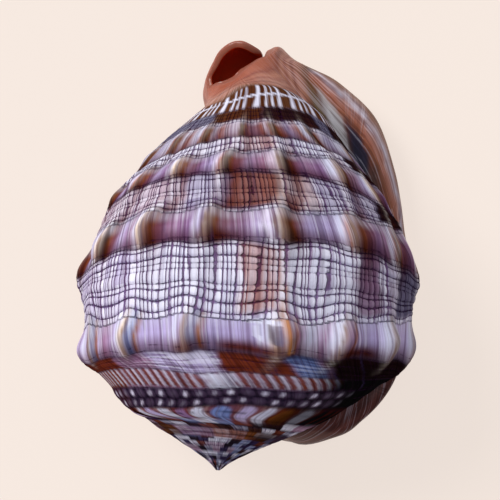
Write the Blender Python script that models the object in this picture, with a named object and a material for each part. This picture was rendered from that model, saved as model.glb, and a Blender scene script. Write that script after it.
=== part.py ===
"""Helmet shell, a large thick-walled sea snail shell lying on its aperture.

One solid grown in one piece: a low spire, a knobbed body whorl, a thick outer lip, a broad
columellar shield, a narrow toothed aperture slit between the two, and a short canal that turns up
at the front. The shell lies with its lip and its shield on the ground, z = 0. +Y runs from the
spire to the canal, +X to the outer lip, +Z up. Lengths are in millimetres here and are scaled to
metres when the mesh is made.

The outside is a smooth net: stations follow each other from the spire to the canal mouth, and each
station has the same columns, from the edge of the slit at the lip over the back to the edge of the
slit at the shield. The inside is a second net with the same columns.
"""
import math

import bmesh
import bpy
import numpy as np

MM = 0.001

# Coil axis: from the tip of the spire towards the canal, a little to the right and downhill.
APEX = np.array([-10.7, -74.5, 44.0])
AXIS_YAW = math.radians(5.4)
AXIS_PITCH = math.radians(6.0)
AXIS = np.array([math.sin(AXIS_YAW) * math.cos(AXIS_PITCH),
                 math.cos(AXIS_YAW) * math.cos(AXIS_PITCH), -math.sin(AXIS_PITCH)])
SIDE = np.array([math.cos(AXIS_YAW), -math.sin(AXIS_YAW), 0.0])
UP = np.cross(SIDE, AXIS)

# Stations from the spire to the last ring before the canal. How far along the coil axis each ring
# lies at the back, on the left and on the right, its left and right radius, and its height as a
# share of the mean radius. BACK_SWAY says how quickly a ring leaves its place at the sides.
STATIONS = ["tip", "nib", "spire", "suture", "ramp", "high", "slope", "brow", "shoulder", "belt",
            "waist", "girdle", "band", "rear", "middle", "fore", "collar", "callus"]
ALONG_BACK = [0.3, 3.2, 9.0, 15.8, 18.4, 22.0, 28.2, 39.4, 45.0, 51.2, 62.4, 78.5, 87.0, 98.1,
              106.3, 117.3, 127.0, 132.5]
ALONG_LEFT = [0.3, 3.0, 9.0, 15.8, 17.8, 21.0, 27.1, 33.6, 38.5, 47.0, 55.0, 66.0, 75.5, 86.5,
              96.0, 110.0, 120.7, 124.5]
ALONG_RIGHT = [0.3, 3.0, 8.6, 15.0, 18.5, 24.0, 34.0, 41.0, 47.5, 57.0, 63.5, 74.3, 83.5, 91.0,
               98.0, 106.5, 114.5, 119.5]
RADIUS_LEFT = [0.6, 3.6, 14.0, 26.5, 31.5, 36.0, 41.0, 48.0, 49.2, 50.8, 52.2, 51.2, 49.3, 45.5,
               40.5, 31.5, 21.5, 17.5]
RADIUS_RIGHT = [0.6, 3.6, 13.0, 25.5, 31.5, 40.0, 52.0, 59.5, 60.5, 61.3, 61.5, 60.5, 57.5, 54.0,
                49.0, 42.0, 35.0, 30.5]
BACK_SWAY = 1.5
HEIGHT_SHARE = [1.0, 1.0, 0.98, 0.95, 0.93, 0.92, 0.90, 0.89, 0.89, 0.89, 0.89, 0.88, 0.87, 0.86,
                0.85, 0.82, 0.80, 0.78]
# Angles at which the body whorl meets the lip and the shield, 0 to the right and 90 at the back.
GROOVE_RIGHT = [-38, -38, -38, -40, -42, -44, -42, -38, -35, -33, -32, -30, -27, -22, -18, -12, -8,
                -6]
GROOVE_LEFT = [206, 206, 206, 206, 226, 218, 211, 207] + [206] * 10
SHIELD_ANGLE, SHIELD_LEDGE = 216, 2.6
CANAL = ["neck", "throat", "mouth"]

# Underside rails, one point for a station: outermost line of the lip, left edge of the shield, and
# the middle of the aperture slit.
LIP_RIM = {"ramp": (18.6, -68.8, 7), "high": (31.6, -66.2, 7), "slope": (41.6, -59.8, 8),
           "brow": (54.0, -43.6, 8), "shoulder": (56.9, -32.9, 8), "belt": (58.0, -21.6, 8),
           "waist": (58.7, -10.7, 8), "girdle": (58.0, 2.1, 8), "band": (56.8, 8.7, 9),
           "rear": (55.3, 20.3, 9.5), "middle": (53.1, 31.2, 10), "fore": (46.1, 50.1, 11),
           "collar": (34.9, 61.0, 13), "callus": (30.0, 64.3, 15)}
SHIELD_RIM = {"ramp": (-23.5, -65.8, 8), "high": (-34.5, -60.5, 10), "slope": (-42.0, -52.5, 11)}
SLIT = {"ramp": (4.8, -66.2), "high": (10.7, -62.4), "slope": (18.5, -53.5), "brow": (24.8, -41.0),
        "shoulder": (26.8, -32.0), "belt": (27.8, -21.0), "waist": (27.6, -9.0),
        "girdle": (25.4, 3.9), "band": (22.5, 15.0), "rear": (19.1, 26.0), "middle": (15.8, 36.0),
        "fore": (12.1, 45.6), "collar": (9.2, 54.4), "callus": (7.7, 60.2)}
SLIT_HALF = {"ramp": 0, "high": 0, "slope": 0, "brow": 0, "shoulder": 4.4, "belt": 5.4,
             "waist": 6.0, "girdle": 6.2, "band": 6.0, "rear": 5.4, "middle": 4.8, "fore": 4.0,
             "collar": 3.1, "callus": 2.4}
REAR_EDGE, REAR_EDGE_LIFT = "ramp", 5.0

# Shape of the underside between its rails. The pads dip under the ground by a little and are cut
# flat there. The slit narrows or widens to its inner edge by a share of its half width, and its
# corner lies at a share of its depth. Behind the slit the two sides meet in a shallow fold.
PAD_DIP = -0.7
SLIT_DEPTH, SLIT_CORNER = 11.0, 0.35
LIP_INNER_EDGE, SHIELD_INNER_EDGE = 1.1, 0.9
SEAM_HALF, SEAM_DEPTH = 1.5, 0.3
CREST, CREST_LIFT = 1.9, 0.7
LIP_PAD, LIP_TURN, LIP_TURN_HEIGHT = 0.52, 0.88, 1.2
LIP_BACK, LIP_BACK_RISE = 0.4, 0.15
SHIELD_TURN, SHIELD_TURN_RISE = 0.14, 0.45
SHIELD_PAD_OUTER, SHIELD_PAD_OUTER_DIP, SHIELD_PAD_INNER = 0.42, 0.6, 0.72

# Angles of the columns on a plain ring, where there is no lip or shield yet.
RING_ANGLES_LIP = [-70, -67, -62, -55, -48, -44, -41]
RING_ANGLES_SHIELD = [215, 227, 240, 255, 271, 281, 290]
BODY_COLUMNS = 11

# Canal columns, from the lip over the back edge to the shield: lip edge, back edge, front rim.
NECK_LIP = [(8.6, 66.0, 11), (9.1, 68.0, 5), (9.9, 68.3, 2.8), (13.0, 68.4, 2.2), (17.0, 69.0, 8),
            (20.6, 68.7, 16.5), (18.5, 67.0, 23)]
NECK_SHIELD = [(-16.5, 57.5, 18), (-12.5, 62.0, 8), (-6.0, 66.0, 3.4), (-0.5, 68.0, 2.6),
               (4.4, 68.5, 2.8), (4.9, 68.0, 5), (5.4, 66.0, 11)]
THROAT_LIP = [(6.9, 71.2, 19), (7.6, 73.2, 14.5), (8.7, 74.4, 12.5), (10.2, 75.0, 12.5),
              (12.6, 74.6, 15), (14.4, 71.6, 19.5), (12.6, 70.2, 25)]
THROAT_SHIELD = [(-16.0, 60.8, 22), (-14.0, 67.0, 17.5), (-8.5, 73.0, 15), (-3.0, 75.9, 15.5),
                 (1.6, 75.3, 15), (3.8, 73.8, 16), (5.0, 71.8, 20)]
MOUTH_LIP = [(5.6, 70.3, 28.5), (5.7, 71.5, 26.8), (6.2, 72.8, 24.3), (8.0, 74.3, 21.3),
             (9.5, 75.0, 21), (10.2, 74.7, 22.5), (9.4, 72.8, 27)]
MOUTH_BACK = [(7.2, 71.0, 30), (4.6, 69.9, 32), (0.3, 66.5, 34), (-3.2, 63.3, 35),
              (-6.0, 61.2, 34), (-9.5, 60.3, 32), (-13.1, 60.0, 30), (-14.9, 60.0, 28)]
MOUTH_SHIELD = [(-15.3, 62.6, 27), (-13.6, 66.6, 28.5), (-10.0, 73.0, 31), (-4.4, 75.9, 33),
                (1.0, 74.5, 33), (3.4, 73.2, 31.5), (4.6, 71.7, 29.5)]
NECK_SHARE, THROAT_SHARE = 0.42, 0.76

# Inside: wall thickness, radius of the columella, how far its middle sinks below the coil axis, how
# far the inside is moved along the axis, the lowest height of the chamber's floor, and the step by
# which that floor draws back from the slit at the lip.
CAVITY_START, CAVITY_END_ALONG = "slope", 35.0
SLIT_START = "brow"
WALL = {"slope": 12, "brow": 7.5, "shoulder": 5.5, "belt": 4.5, "waist": 4.2, "girdle": 4.2,
        "band": 4.2, "rear": 4.2, "middle": 4.2, "fore": 4.0, "collar": 3.8, "callus": 3.6}
COLUMELLA = {"slope": 17, "brow": 20, "shoulder": 21, "belt": 22, "waist": 22, "girdle": 21,
             "band": 19, "rear": 16.5, "middle": 14, "fore": 10.5, "collar": 7.5, "callus": 5.5}
COLUMELLA_SINK = {"slope": 0, "brow": 0, "shoulder": 0, "belt": 0, "waist": 0, "girdle": 0,
                  "band": 1, "rear": 2.5, "middle": 4.5, "fore": 8, "collar": 11.5, "callus": 15}
INNER_SHIFT = {"slope": 3, "brow": 2.5, "shoulder": 1.5, "belt": 1, "waist": 0, "girdle": -1,
               "band": -1.5, "rear": -2, "middle": -3, "fore": -4, "collar": -5, "callus": -6}
INNER_FLOOR, SEAM_RISE = 12.5, 2.0
LIP_SHELF = 1.6
INNER_ANGLES_LIP = [-60, -54, -48, -42, -35, -28, -20]
INNER_ANGLES_BODY = (-12, 216)
COLUMELLA_ANGLES = [236, 214, 160, 90, 30, -15]
CANAL_WALL = 2.4
THROAT_DROP = np.array([0.8, -2.5, -6.0])

# Knobs in four spiral rows: place along the axis, share of the way from the right groove over the
# back to the left one, and height, with the reach of each knob in its row.
KNOB_ROWS = [
    (6.5, [(43.0, 0.96, 2.0), (42.5, 0.87, 4.0), (43.5, 0.70, 3.0), (44.0, 0.575, 3.6),
           (46.0, 0.44, 5.4), (46.5, 0.355, 4.0), (46.0, 0.27, 3.8), (45.5, 0.16, 3.4)]),
    (7.0, [(77.0, 0.91, 3.8), (82.5, 0.80, 2.4), (81.5, 0.66, 3.0), (80.5, 0.55, 3.4),
           (82.0, 0.445, 4.0), (85.0, 0.31, 3.6), (83.0, 0.19, 2.4), (76.5, 0.14, 2.6)]),
    (5.5, [(100.5, 0.83, 1.8), (101.5, 0.74, 2.0), (101.5, 0.63, 2.0), (102.0, 0.51, 2.2),
           (104.0, 0.41, 2.2), (106.5, 0.29, 2.4), (105.5, 0.18, 1.8)]),
    (4.0, [(113.0, 0.81, 1.0), (113.0, 0.67, 1.2), (113.5, 0.60, 1.2), (114.5, 0.52, 1.3),
           (115.0, 0.45, 1.3), (117.0, 0.38, 1.3), (120.0, 0.30, 1.2)]),
]
TOOTH = 1.2
TOOTH_COLUMNS = (1, 2, -3, -2)

# Columns of the finished mesh between one control column and the next, and rows between stations.
COLUMN_STEPS = [1, 1, 2, 2, 2, 2, 2] + [4] * (BODY_COLUMNS - 1) + [2, 2, 2, 2, 2, 1, 1]
COLUMN_SPACING = [7, 4, 11, 11, 7, 7, 9] + [22.8] * (BODY_COLUMNS - 1) + [8, 11, 22, 20, 17, 4, 7]
ROW_STEPS = [1, 2, 2, 1, 1, 2, 3, 2, 2, 2, 4, 2, 3, 2, 3, 2, 1, 2, 2, 2]
CANAL_SPACING = [7.5, 7.5, 7.5]

MERGE_DISTANCE = 2e-6
SHARP_EDGE = math.radians(60)
SHELL_COLOUR = (0.42, 0.29, 0.27, 1.0)
SHELL_ROUGHNESS = 0.38


def ring_point(station, angle, shrink=0.0, shift=0.0):
    """Point on a station's ring, moved in by shrink and along the axis by shift."""
    c, s = math.cos(math.radians(angle)), math.sin(math.radians(angle))
    left, right = RADIUS_LEFT[station], RADIUS_RIGHT[station]
    radius = right if c > 0 else left
    height = HEIGHT_SHARE[station] * (left + right) / 2
    side = ALONG_LEFT[station] * (1 - c) / 2 + ALONG_RIGHT[station] * (1 + c) / 2
    back = max(s, 0.0) ** BACK_SWAY
    along = ALONG_BACK[station] * back + side * (1 - back) + shift
    return APEX + AXIS * along + SIDE * (radius - shrink) * c + UP * (height - shrink) * s


def mix(a, b, share):
    return np.asarray(a, float) * (1 - share) + np.asarray(b, float) * share


def with_z(point, z):
    return np.array([point[0], point[1], z])


def body_angles(station):
    return np.linspace(GROOVE_RIGHT[station], GROOVE_LEFT[station], BODY_COLUMNS)


def outer_station(station):
    """Control points of one station's outside, from the slit's lip edge to its shield edge."""
    name = STATIONS[station]
    body = [ring_point(station, a) for a in body_angles(station)]
    if name not in LIP_RIM:
        lip = [ring_point(station, a) for a in RING_ANGLES_LIP]
        shield = [ring_point(station, a) for a in RING_ANGLES_SHIELD]
        return np.array(lip + body + shield)
    rim = np.array(LIP_RIM[name], float)
    edge = ring_point(station, SHIELD_ANGLE, -SHIELD_LEDGE)
    edge = np.array(SHIELD_RIM.get(name, edge), float)
    slit, half = np.array(SLIT[name] + (0.0,)), SLIT_HALF[name]
    depth = SLIT_DEPTH if half else SEAM_DEPTH
    corner = half if half else SEAM_HALF
    crest_lift = CREST_LIFT if half else 0.0
    step = np.array([1.0, 0.0, 0.0])
    lip = [with_z(slit + step * (half * LIP_INNER_EDGE), depth),
           with_z(slit + step * corner, depth * SLIT_CORNER),
           with_z(slit + step * (corner + CREST), crest_lift),
           with_z(mix(slit, rim, LIP_PAD), PAD_DIP),
           with_z(mix(slit, rim, LIP_TURN), LIP_TURN_HEIGHT), rim,
           mix(rim, body[0], LIP_BACK) + [0, 0, LIP_BACK_RISE * (body[0][2] - rim[2])]]
    shield = [edge, with_z(mix(edge, slit, SHIELD_TURN), edge[2] * SHIELD_TURN_RISE),
              with_z(mix(edge, slit, SHIELD_PAD_OUTER), PAD_DIP * SHIELD_PAD_OUTER_DIP),
              with_z(mix(edge, slit, SHIELD_PAD_INNER), PAD_DIP),
              with_z(slit - step * (corner + CREST), crest_lift),
              with_z(slit - step * corner, depth * SLIT_CORNER),
              with_z(slit - step * (half * SHIELD_INNER_EDGE), depth)]
    station_points = np.array(lip + body + shield)
    if name == REAR_EDGE:
        station_points[:, 2] = np.maximum(station_points[:, 2], REAR_EDGE_LIFT)
    return station_points


def resample(points, count):
    """The same number of points spread evenly along a line."""
    points = np.array(points, float)
    lengths = np.concatenate([[0], np.cumsum(np.linalg.norm(np.diff(points, axis=0), axis=1))])
    places = np.linspace(0, lengths[-1], count)
    return np.stack([np.interp(places, lengths, points[:, k]) for k in range(3)], axis=1)


def outer_net():
    net = [outer_station(i) for i in range(len(STATIONS))]
    last_body = net[-1][len(RING_ANGLES_LIP):len(RING_ANGLES_LIP) + BODY_COLUMNS]
    edge = resample(MOUTH_BACK, BODY_COLUMNS)
    for lip, share, shield in ((NECK_LIP, NECK_SHARE, NECK_SHIELD),
                               (THROAT_LIP, THROAT_SHARE, THROAT_SHIELD),
                               (MOUTH_LIP, 1.0, MOUTH_SHIELD)):
        net.append(np.concatenate([np.array(lip, float), mix(last_body, edge, share),
                                   np.array(shield, float)]))
    return np.array(net)


def inner_station(station, outside):
    """Control points of one station's inside: outer wall, blind end, then the columella."""
    name = STATIONS[station]
    wall, core, sink = WALL[name], COLUMELLA[name], COLUMELLA_SINK[name]
    angles = INNER_ANGLES_LIP + list(np.linspace(*INNER_ANGLES_BODY, BODY_COLUMNS))
    points = [ring_point(station, a, wall, INNER_SHIFT[name]) for a in angles]
    centre = ring_point(station, 0) * 0.5 + ring_point(station, 180) * 0.5
    middle = APEX + AXIS * np.dot(centre - APEX, AXIS) - UP * sink
    for k, angle in enumerate(COLUMELLA_ANGLES):
        ray = SIDE * math.cos(math.radians(angle)) + UP * math.sin(math.radians(angle))
        on_core = middle + ray * core
        points.append(mix(points[-1], on_core, 0.5) if k == 0 else on_core)
    points.append(outside[-1] * 1.0)
    points[0] = outside[0] * 1.0
    for k in range(1, len(points) - 1):
        points[k] = with_z(points[k], max(points[k][2], INNER_FLOOR))
    for k in range(1, len(INNER_ANGLES_LIP)):
        points[k][0] = max(points[k][0], outside[0][0] + LIP_SHELF * k)
    if STATIONS.index(name) < STATIONS.index(SLIT_START):
        seam = with_z(mix(points[1], points[-2], 0.5), INNER_FLOOR + SEAM_RISE)
        points[0], points[-1] = seam, seam
    if name == CAVITY_START:
        points = [p + AXIS * (CAVITY_END_ALONG - (p - APEX) @ AXIS) for p in points]
    return np.array(points)


def toward(point, goal, distance):
    ray = goal - point
    return point + ray / np.linalg.norm(ray) * distance


def canal_stations(outer, last_inner):
    """Inside of the canal: a thin rim at the mouth, then a passage that dives under its back edge."""
    lips = len(RING_ANGLES_LIP)
    body = slice(lips, lips + BODY_COLUMNS)
    stations = []
    for outside in outer:
        centre = outside[lips:-1].mean(axis=0)
        inside = np.array([toward(p, centre, CANAL_WALL) for p in outside])
        stations.append(inside)
    neck, throat, mouth = stations
    throat[body] = mouth[body] + THROAT_DROP
    neck[body] = mix(last_inner[body], throat[body], 0.5)
    for inside, outside in zip(stations, outer):
        inside[0], inside[-1] = outside[0], outside[-1]
        for k in range(1, lips):
            inside[k] = mix(outside[0], inside[lips], k / lips)
    return stations


def spline_weights(knots, places):
    """Weights that read a smooth curve through values at knots: cubic, tangents from neighbours."""
    knots = np.asarray(knots, float)
    count = len(knots)
    slopes = np.zeros((count, count))
    for i in range(count):
        a, b = max(i - 1, 0), min(i + 1, count - 1)
        if 0 < i < count - 1:
            before, after = knots[i] - knots[a], knots[b] - knots[i]
            share = after / (before + after)
            slopes[i, a] -= share / before
            slopes[i, i] += share / before - (1 - share) / after
            slopes[i, b] += (1 - share) / after
        else:
            slopes[i, a], slopes[i, b] = -1 / (knots[b] - knots[a]), 1 / (knots[b] - knots[a])
    rows = []
    for place in places:
        j = min(max(int(np.searchsorted(knots, place, side="right")) - 1, 0), count - 2)
        width = knots[j + 1] - knots[j]
        t = (place - knots[j]) / width
        row = np.zeros(count)
        row[j] += 2 * t ** 3 - 3 * t ** 2 + 1
        row[j + 1] += -2 * t ** 3 + 3 * t ** 2
        row += (t ** 3 - 2 * t ** 2 + t) * width * slopes[j]
        row += (t ** 3 - t ** 2) * width * slopes[j + 1]
        rows.append(row)
    return np.array(rows)


def spread(knots, steps):
    """Places between knots, with the given number of steps in each interval."""
    places = [knots[0]]
    for low, high, count in zip(knots[:-1], knots[1:], steps):
        places += [low + (high - low) * (k + 1) / count for k in range(count)]
    return places


def surface(net, row_knots, rows, column_knots, columns):
    across = spline_weights(column_knots, columns)
    down = spline_weights(row_knots, rows)
    return np.einsum("ri,ijk,cj->rck", down, net, across)


def add_knobs(outside, outer, row_knots, column_knots):
    """Push the outside away from the coil axis around each knob."""
    lips = len(RING_ANGLES_LIP)
    start, end = column_knots[lips], column_knots[lips + BODY_COLUMNS - 1]
    from_apex = outside - APEX
    outward = from_apex - (from_apex @ AXIS)[..., None] * AXIS
    outward /= np.maximum(np.linalg.norm(outward, axis=-1, keepdims=True), 1.0)
    push = np.zeros(outside.shape[:2])
    for reach, knobs in KNOB_ROWS:
        for along, share, height in knobs:
            place = start + (end - start) * share
            centre = surface(outer, row_knots, [along], column_knots, [place])[0, 0]
            distance = np.linalg.norm(outside - centre, axis=-1)
            push += height * np.exp(-(distance / reach) ** 2)
    return outside + outward * push[..., None]


def add_teeth(outside, first_row):
    """Every other row stands a little further into the slit, on both of its edges."""
    last_row = len(outside) - sum(ROW_STEPS[-len(CANAL):])
    for row in range(first_row, last_row, 2):
        for column in TOOTH_COLUMNS:
            outside[row, column, 0] += TOOTH if column < 0 else -TOOTH


def build_points():
    outer = outer_net()
    row_knots = np.concatenate([ALONG_BACK, ALONG_BACK[-1] + np.cumsum(CANAL_SPACING)])
    column_knots = np.concatenate([[0], np.cumsum(COLUMN_SPACING)])
    rows, columns = spread(row_knots, ROW_STEPS), spread(column_knots, COLUMN_STEPS)
    outside = surface(outer, row_knots, rows, column_knots, columns)
    outside = add_knobs(outside, outer, row_knots, column_knots)
    first = STATIONS.index(CAVITY_START)
    inner = [inner_station(i, outer[i]) for i in range(first, len(STATIONS))]
    inner += canal_stations(outer[len(STATIONS):], inner[-1])
    first_row = sum(ROW_STEPS[:first])
    slit_row = sum(ROW_STEPS[:STATIONS.index(SLIT_START)])
    inside = surface(np.array(inner), row_knots[first:], rows[first_row:], column_knots, columns)
    add_teeth(outside, slit_row + 2)
    outside[:slit_row + 1, -1] = outside[:slit_row + 1, 0]
    outside[..., 2] = np.maximum(outside[..., 2], 0.0)
    inside[slit_row - first_row:, 0] = outside[slit_row:, 0]
    inside[slit_row - first_row:, -1] = outside[slit_row:, -1]
    for row in range(1, slit_row - first_row):
        inside[row, 0] = mix(inside[0, 0], outside[slit_row, 0], row / (slit_row - first_row))
    inside[:slit_row - first_row, -1] = inside[:slit_row - first_row, 0]
    corners = outside.min(axis=(0, 1)), outside.max(axis=(0, 1))
    middle = (corners[0] + corners[1]) / 2
    middle[2] = 0.0
    return outside - middle, inside - middle


def grid_faces(bm, points, flip):
    verts = [[bm.verts.new(p * MM) for p in row] for row in points]
    for a, b in zip(verts[:-1], verts[1:]):
        for k in range(len(a) - 1):
            face = [a[k], a[k + 1], b[k + 1], b[k]]
            bm.faces.new(face[::-1] if flip else face)
    return verts


def make_material():
    material = bpy.data.materials.new("shell_lime")
    material.use_nodes = True
    finish = material.node_tree.nodes["Principled BSDF"]
    finish.inputs["Base Color"].default_value = SHELL_COLOUR
    finish.inputs["Roughness"].default_value = SHELL_ROUGHNESS
    finish.inputs["Metallic"].default_value = 0.0
    return material


def make_shell():
    outside, inside = build_points()
    bm = bmesh.new()
    outer = grid_faces(bm, outside, True)
    inner = grid_faces(bm, inside, False)
    for k in range(len(outer[-1]) - 1):
        bm.faces.new([inner[-1][k], inner[-1][k + 1], outer[-1][k + 1], outer[-1][k]])
    bm.faces.new(outer[0][:-1])
    bm.faces.new(inner[0][:-1][::-1])
    bmesh.ops.remove_doubles(bm, verts=bm.verts, dist=MERGE_DISTANCE)
    bmesh.ops.dissolve_degenerate(bm, edges=bm.edges, dist=MERGE_DISTANCE)
    mesh = bpy.data.meshes.new("shell")
    bm.to_mesh(mesh)
    bm.free()
    mesh.shade_smooth()
    mesh.set_sharp_from_angle(angle=SHARP_EDGE)
    mesh.materials.append(make_material())
    shell = bpy.data.objects.new("shell", mesh)
    bpy.context.collection.objects.link(shell)
    return shell


def main():
    for old in list(bpy.data.objects):
        bpy.data.objects.remove(old)
    make_shell()


main()
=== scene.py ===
"""Helmet shell: the visible shell, a smooth dense form with its cords, knobs, growth lines and colours.

The form follows the same stations, columns and knobs as the solid. The outside is one sheet laid over
them, the inside another, and the two are joined along the slit and round the canal mouth. Every place
on the outside has a row number, which counts the spiral grooves from the spire to the canal, and a
share, 0 at the groove beside the lip and 1 at the groove beside the shield.
"""
import math

import bpy
import numpy as np
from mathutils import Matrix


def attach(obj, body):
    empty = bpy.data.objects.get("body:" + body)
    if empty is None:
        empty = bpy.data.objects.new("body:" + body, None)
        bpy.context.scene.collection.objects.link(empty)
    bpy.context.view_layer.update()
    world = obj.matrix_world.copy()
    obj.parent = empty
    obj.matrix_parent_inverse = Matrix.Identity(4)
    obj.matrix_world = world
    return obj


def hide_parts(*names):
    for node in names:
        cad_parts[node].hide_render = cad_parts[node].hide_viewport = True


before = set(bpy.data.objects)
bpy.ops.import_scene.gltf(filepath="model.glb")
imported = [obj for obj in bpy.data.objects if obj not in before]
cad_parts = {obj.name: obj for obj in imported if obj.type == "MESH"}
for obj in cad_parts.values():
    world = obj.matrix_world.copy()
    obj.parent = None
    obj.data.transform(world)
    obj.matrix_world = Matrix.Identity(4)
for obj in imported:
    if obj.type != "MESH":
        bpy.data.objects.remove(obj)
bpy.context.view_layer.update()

MM = 0.001

# Coil axis: from the tip of the spire towards the canal, a little to the right and downhill.
APEX = np.array([-10.7, -74.5, 44.0])
AXIS_YAW = math.radians(5.4)
AXIS_PITCH = math.radians(6.0)
AXIS = np.array([math.sin(AXIS_YAW) * math.cos(AXIS_PITCH),
                 math.cos(AXIS_YAW) * math.cos(AXIS_PITCH), -math.sin(AXIS_PITCH)])
SIDE = np.array([math.cos(AXIS_YAW), -math.sin(AXIS_YAW), 0.0])
UP = np.cross(SIDE, AXIS)

# Stations from the spire to the last ring before the canal. How far along the coil axis each ring
# lies at the back, on the left and on the right, its left and right radius, and its height as a
# share of the mean radius. BACK_SWAY says how quickly a ring leaves its place at the sides.
STATIONS = ["tip", "nib", "spire", "suture", "ramp", "high", "slope", "brow", "shoulder", "belt",
            "waist", "girdle", "band", "rear", "middle", "fore", "collar", "callus"]
ALONG_BACK = [0.3, 3.2, 9.0, 15.8, 18.4, 22.0, 28.2, 39.4, 45.0, 51.2, 62.4, 78.5, 87.0, 98.1,
              106.3, 117.3, 127.0, 132.5]
ALONG_LEFT = [0.3, 3.0, 9.0, 15.8, 17.8, 21.0, 27.1, 33.6, 38.5, 47.0, 55.0, 66.0, 75.5, 86.5,
              96.0, 110.0, 120.7, 124.5]
ALONG_RIGHT = [0.3, 3.0, 8.6, 15.0, 18.5, 24.0, 34.0, 41.0, 47.5, 57.0, 63.5, 74.3, 83.5, 91.0,
               98.0, 106.5, 114.5, 119.5]
RADIUS_LEFT = [0.6, 3.6, 14.0, 26.5, 31.5, 36.0, 41.0, 48.0, 49.2, 50.8, 52.2, 51.2, 49.3, 45.5,
               40.5, 31.5, 21.5, 17.5]
RADIUS_RIGHT = [0.6, 3.6, 13.0, 25.5, 31.5, 40.0, 52.0, 59.5, 60.5, 61.3, 61.5, 60.5, 57.5, 54.0,
                49.0, 42.0, 35.0, 30.5]
BACK_SWAY = 1.5
HEIGHT_SHARE = [1.0, 1.0, 0.98, 0.95, 0.93, 0.92, 0.90, 0.89, 0.89, 0.89, 0.89, 0.88, 0.87, 0.86,
                0.85, 0.82, 0.80, 0.78]
# Angles at which the body whorl meets the lip and the shield, 0 to the right and 90 at the back.
GROOVE_RIGHT = [-38, -38, -38, -40, -42, -44, -42, -38, -35, -33, -32, -30, -27, -22, -18, -12, -8,
                -6]
GROOVE_LEFT = [206, 206, 206, 206, 226, 218, 211, 207] + [206] * 10
SHIELD_ANGLE, SHIELD_LEDGE = 216, 2.6

# Underside rails, one point for a station: outermost line of the lip, left edge of the shield, and
# the middle of the aperture slit.
LIP_RIM = {"ramp": (18.6, -68.8, 7), "high": (31.6, -66.2, 7), "slope": (41.6, -59.8, 8),
           "brow": (54.0, -43.6, 8), "shoulder": (56.9, -32.9, 8), "belt": (58.0, -21.6, 8),
           "waist": (58.7, -10.7, 8), "girdle": (58.0, 2.1, 8), "band": (56.8, 8.7, 9),
           "rear": (55.3, 20.3, 9.5), "middle": (53.1, 31.2, 10), "fore": (46.1, 50.1, 11),
           "collar": (34.9, 61.0, 13), "callus": (30.0, 64.3, 15)}
SHIELD_RIM = {"ramp": (-23.5, -65.8, 8), "high": (-34.5, -60.5, 10), "slope": (-42.0, -52.5, 11)}
SLIT = {"ramp": (4.8, -66.2), "high": (10.7, -62.4), "slope": (18.5, -53.5), "brow": (24.8, -41.0),
        "shoulder": (26.8, -32.0), "belt": (27.8, -21.0), "waist": (27.6, -9.0),
        "girdle": (25.4, 3.9), "band": (22.5, 15.0), "rear": (19.1, 26.0), "middle": (15.8, 36.0),
        "fore": (12.1, 45.6), "collar": (9.2, 54.4), "callus": (7.7, 60.2)}
SLIT_HALF = {"ramp": 0, "high": 0, "slope": 0, "brow": 0, "shoulder": 4.4, "belt": 5.4,
             "waist": 6.0, "girdle": 6.2, "band": 6.0, "rear": 5.4, "middle": 4.8, "fore": 4.0,
             "collar": 3.1, "callus": 2.4}
REAR_EDGE, REAR_EDGE_LIFT = "ramp", 5.0

# Shape of the underside between its rails. The pads dip under the ground by a little and are cut
# flat there. The slit narrows or widens to its inner edge by a share of its half width, and its
# corner lies at a share of its depth. Behind the slit the two sides meet in a shallow fold.
PAD_DIP = -0.7
SLIT_DEPTH, SLIT_CORNER = 11.0, 0.35
LIP_INNER_EDGE, SHIELD_INNER_EDGE = 1.1, 0.9
SEAM_HALF, SEAM_DEPTH = 1.5, 0.3
CREST, CREST_LIFT = 1.9, 0.7
LIP_PAD, LIP_TURN, LIP_TURN_HEIGHT = 0.52, 0.88, 1.2
LIP_BACK, LIP_BACK_RISE = 0.4, 0.15
SHIELD_TURN, SHIELD_TURN_RISE = 0.14, 0.45
SHIELD_PAD_OUTER, SHIELD_PAD_OUTER_DIP, SHIELD_PAD_INNER = 0.42, 0.6, 0.72

# Angles of the columns on a plain ring, where there is no lip or shield yet.
RING_ANGLES_LIP = [-70, -67, -62, -55, -48, -44, -41]
RING_ANGLES_SHIELD = [215, 227, 240, 255, 271, 281, 290]
BODY_COLUMNS = 11

# Canal columns, from the lip over the back edge to the shield: lip edge, back edge, front rim.
NECK_LIP = [(8.6, 66.0, 11), (9.1, 68.0, 5), (9.9, 68.3, 2.8), (13.0, 68.4, 2.2), (17.0, 69.0, 8),
            (20.6, 68.7, 16.5), (18.5, 67.0, 23)]
NECK_SHIELD = [(-16.5, 57.5, 18), (-12.5, 62.0, 8), (-6.0, 66.0, 3.4), (-0.5, 68.0, 2.6),
               (4.4, 68.5, 2.8), (4.9, 68.0, 5), (5.4, 66.0, 11)]
THROAT_LIP = [(6.9, 71.2, 19), (7.6, 73.2, 14.5), (8.7, 74.4, 12.5), (10.2, 75.0, 12.5),
              (12.6, 74.6, 15), (14.4, 71.6, 19.5), (12.6, 70.2, 25)]
THROAT_SHIELD = [(-16.0, 60.8, 22), (-14.0, 67.0, 17.5), (-8.5, 73.0, 15), (-3.0, 75.9, 15.5),
                 (1.6, 75.3, 15), (3.8, 73.8, 16), (5.0, 71.8, 20)]
MOUTH_LIP = [(5.6, 70.3, 28.5), (5.7, 71.5, 26.8), (6.2, 72.8, 24.3), (8.0, 74.3, 21.3),
             (9.5, 75.0, 21), (10.2, 74.7, 22.5), (9.4, 72.8, 27)]
MOUTH_BACK = [(7.2, 71.0, 30), (4.6, 69.9, 32), (0.3, 66.5, 34), (-3.2, 63.3, 35),
              (-6.0, 61.2, 34), (-9.5, 60.3, 32), (-13.1, 60.0, 30), (-14.9, 60.0, 28)]
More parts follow.
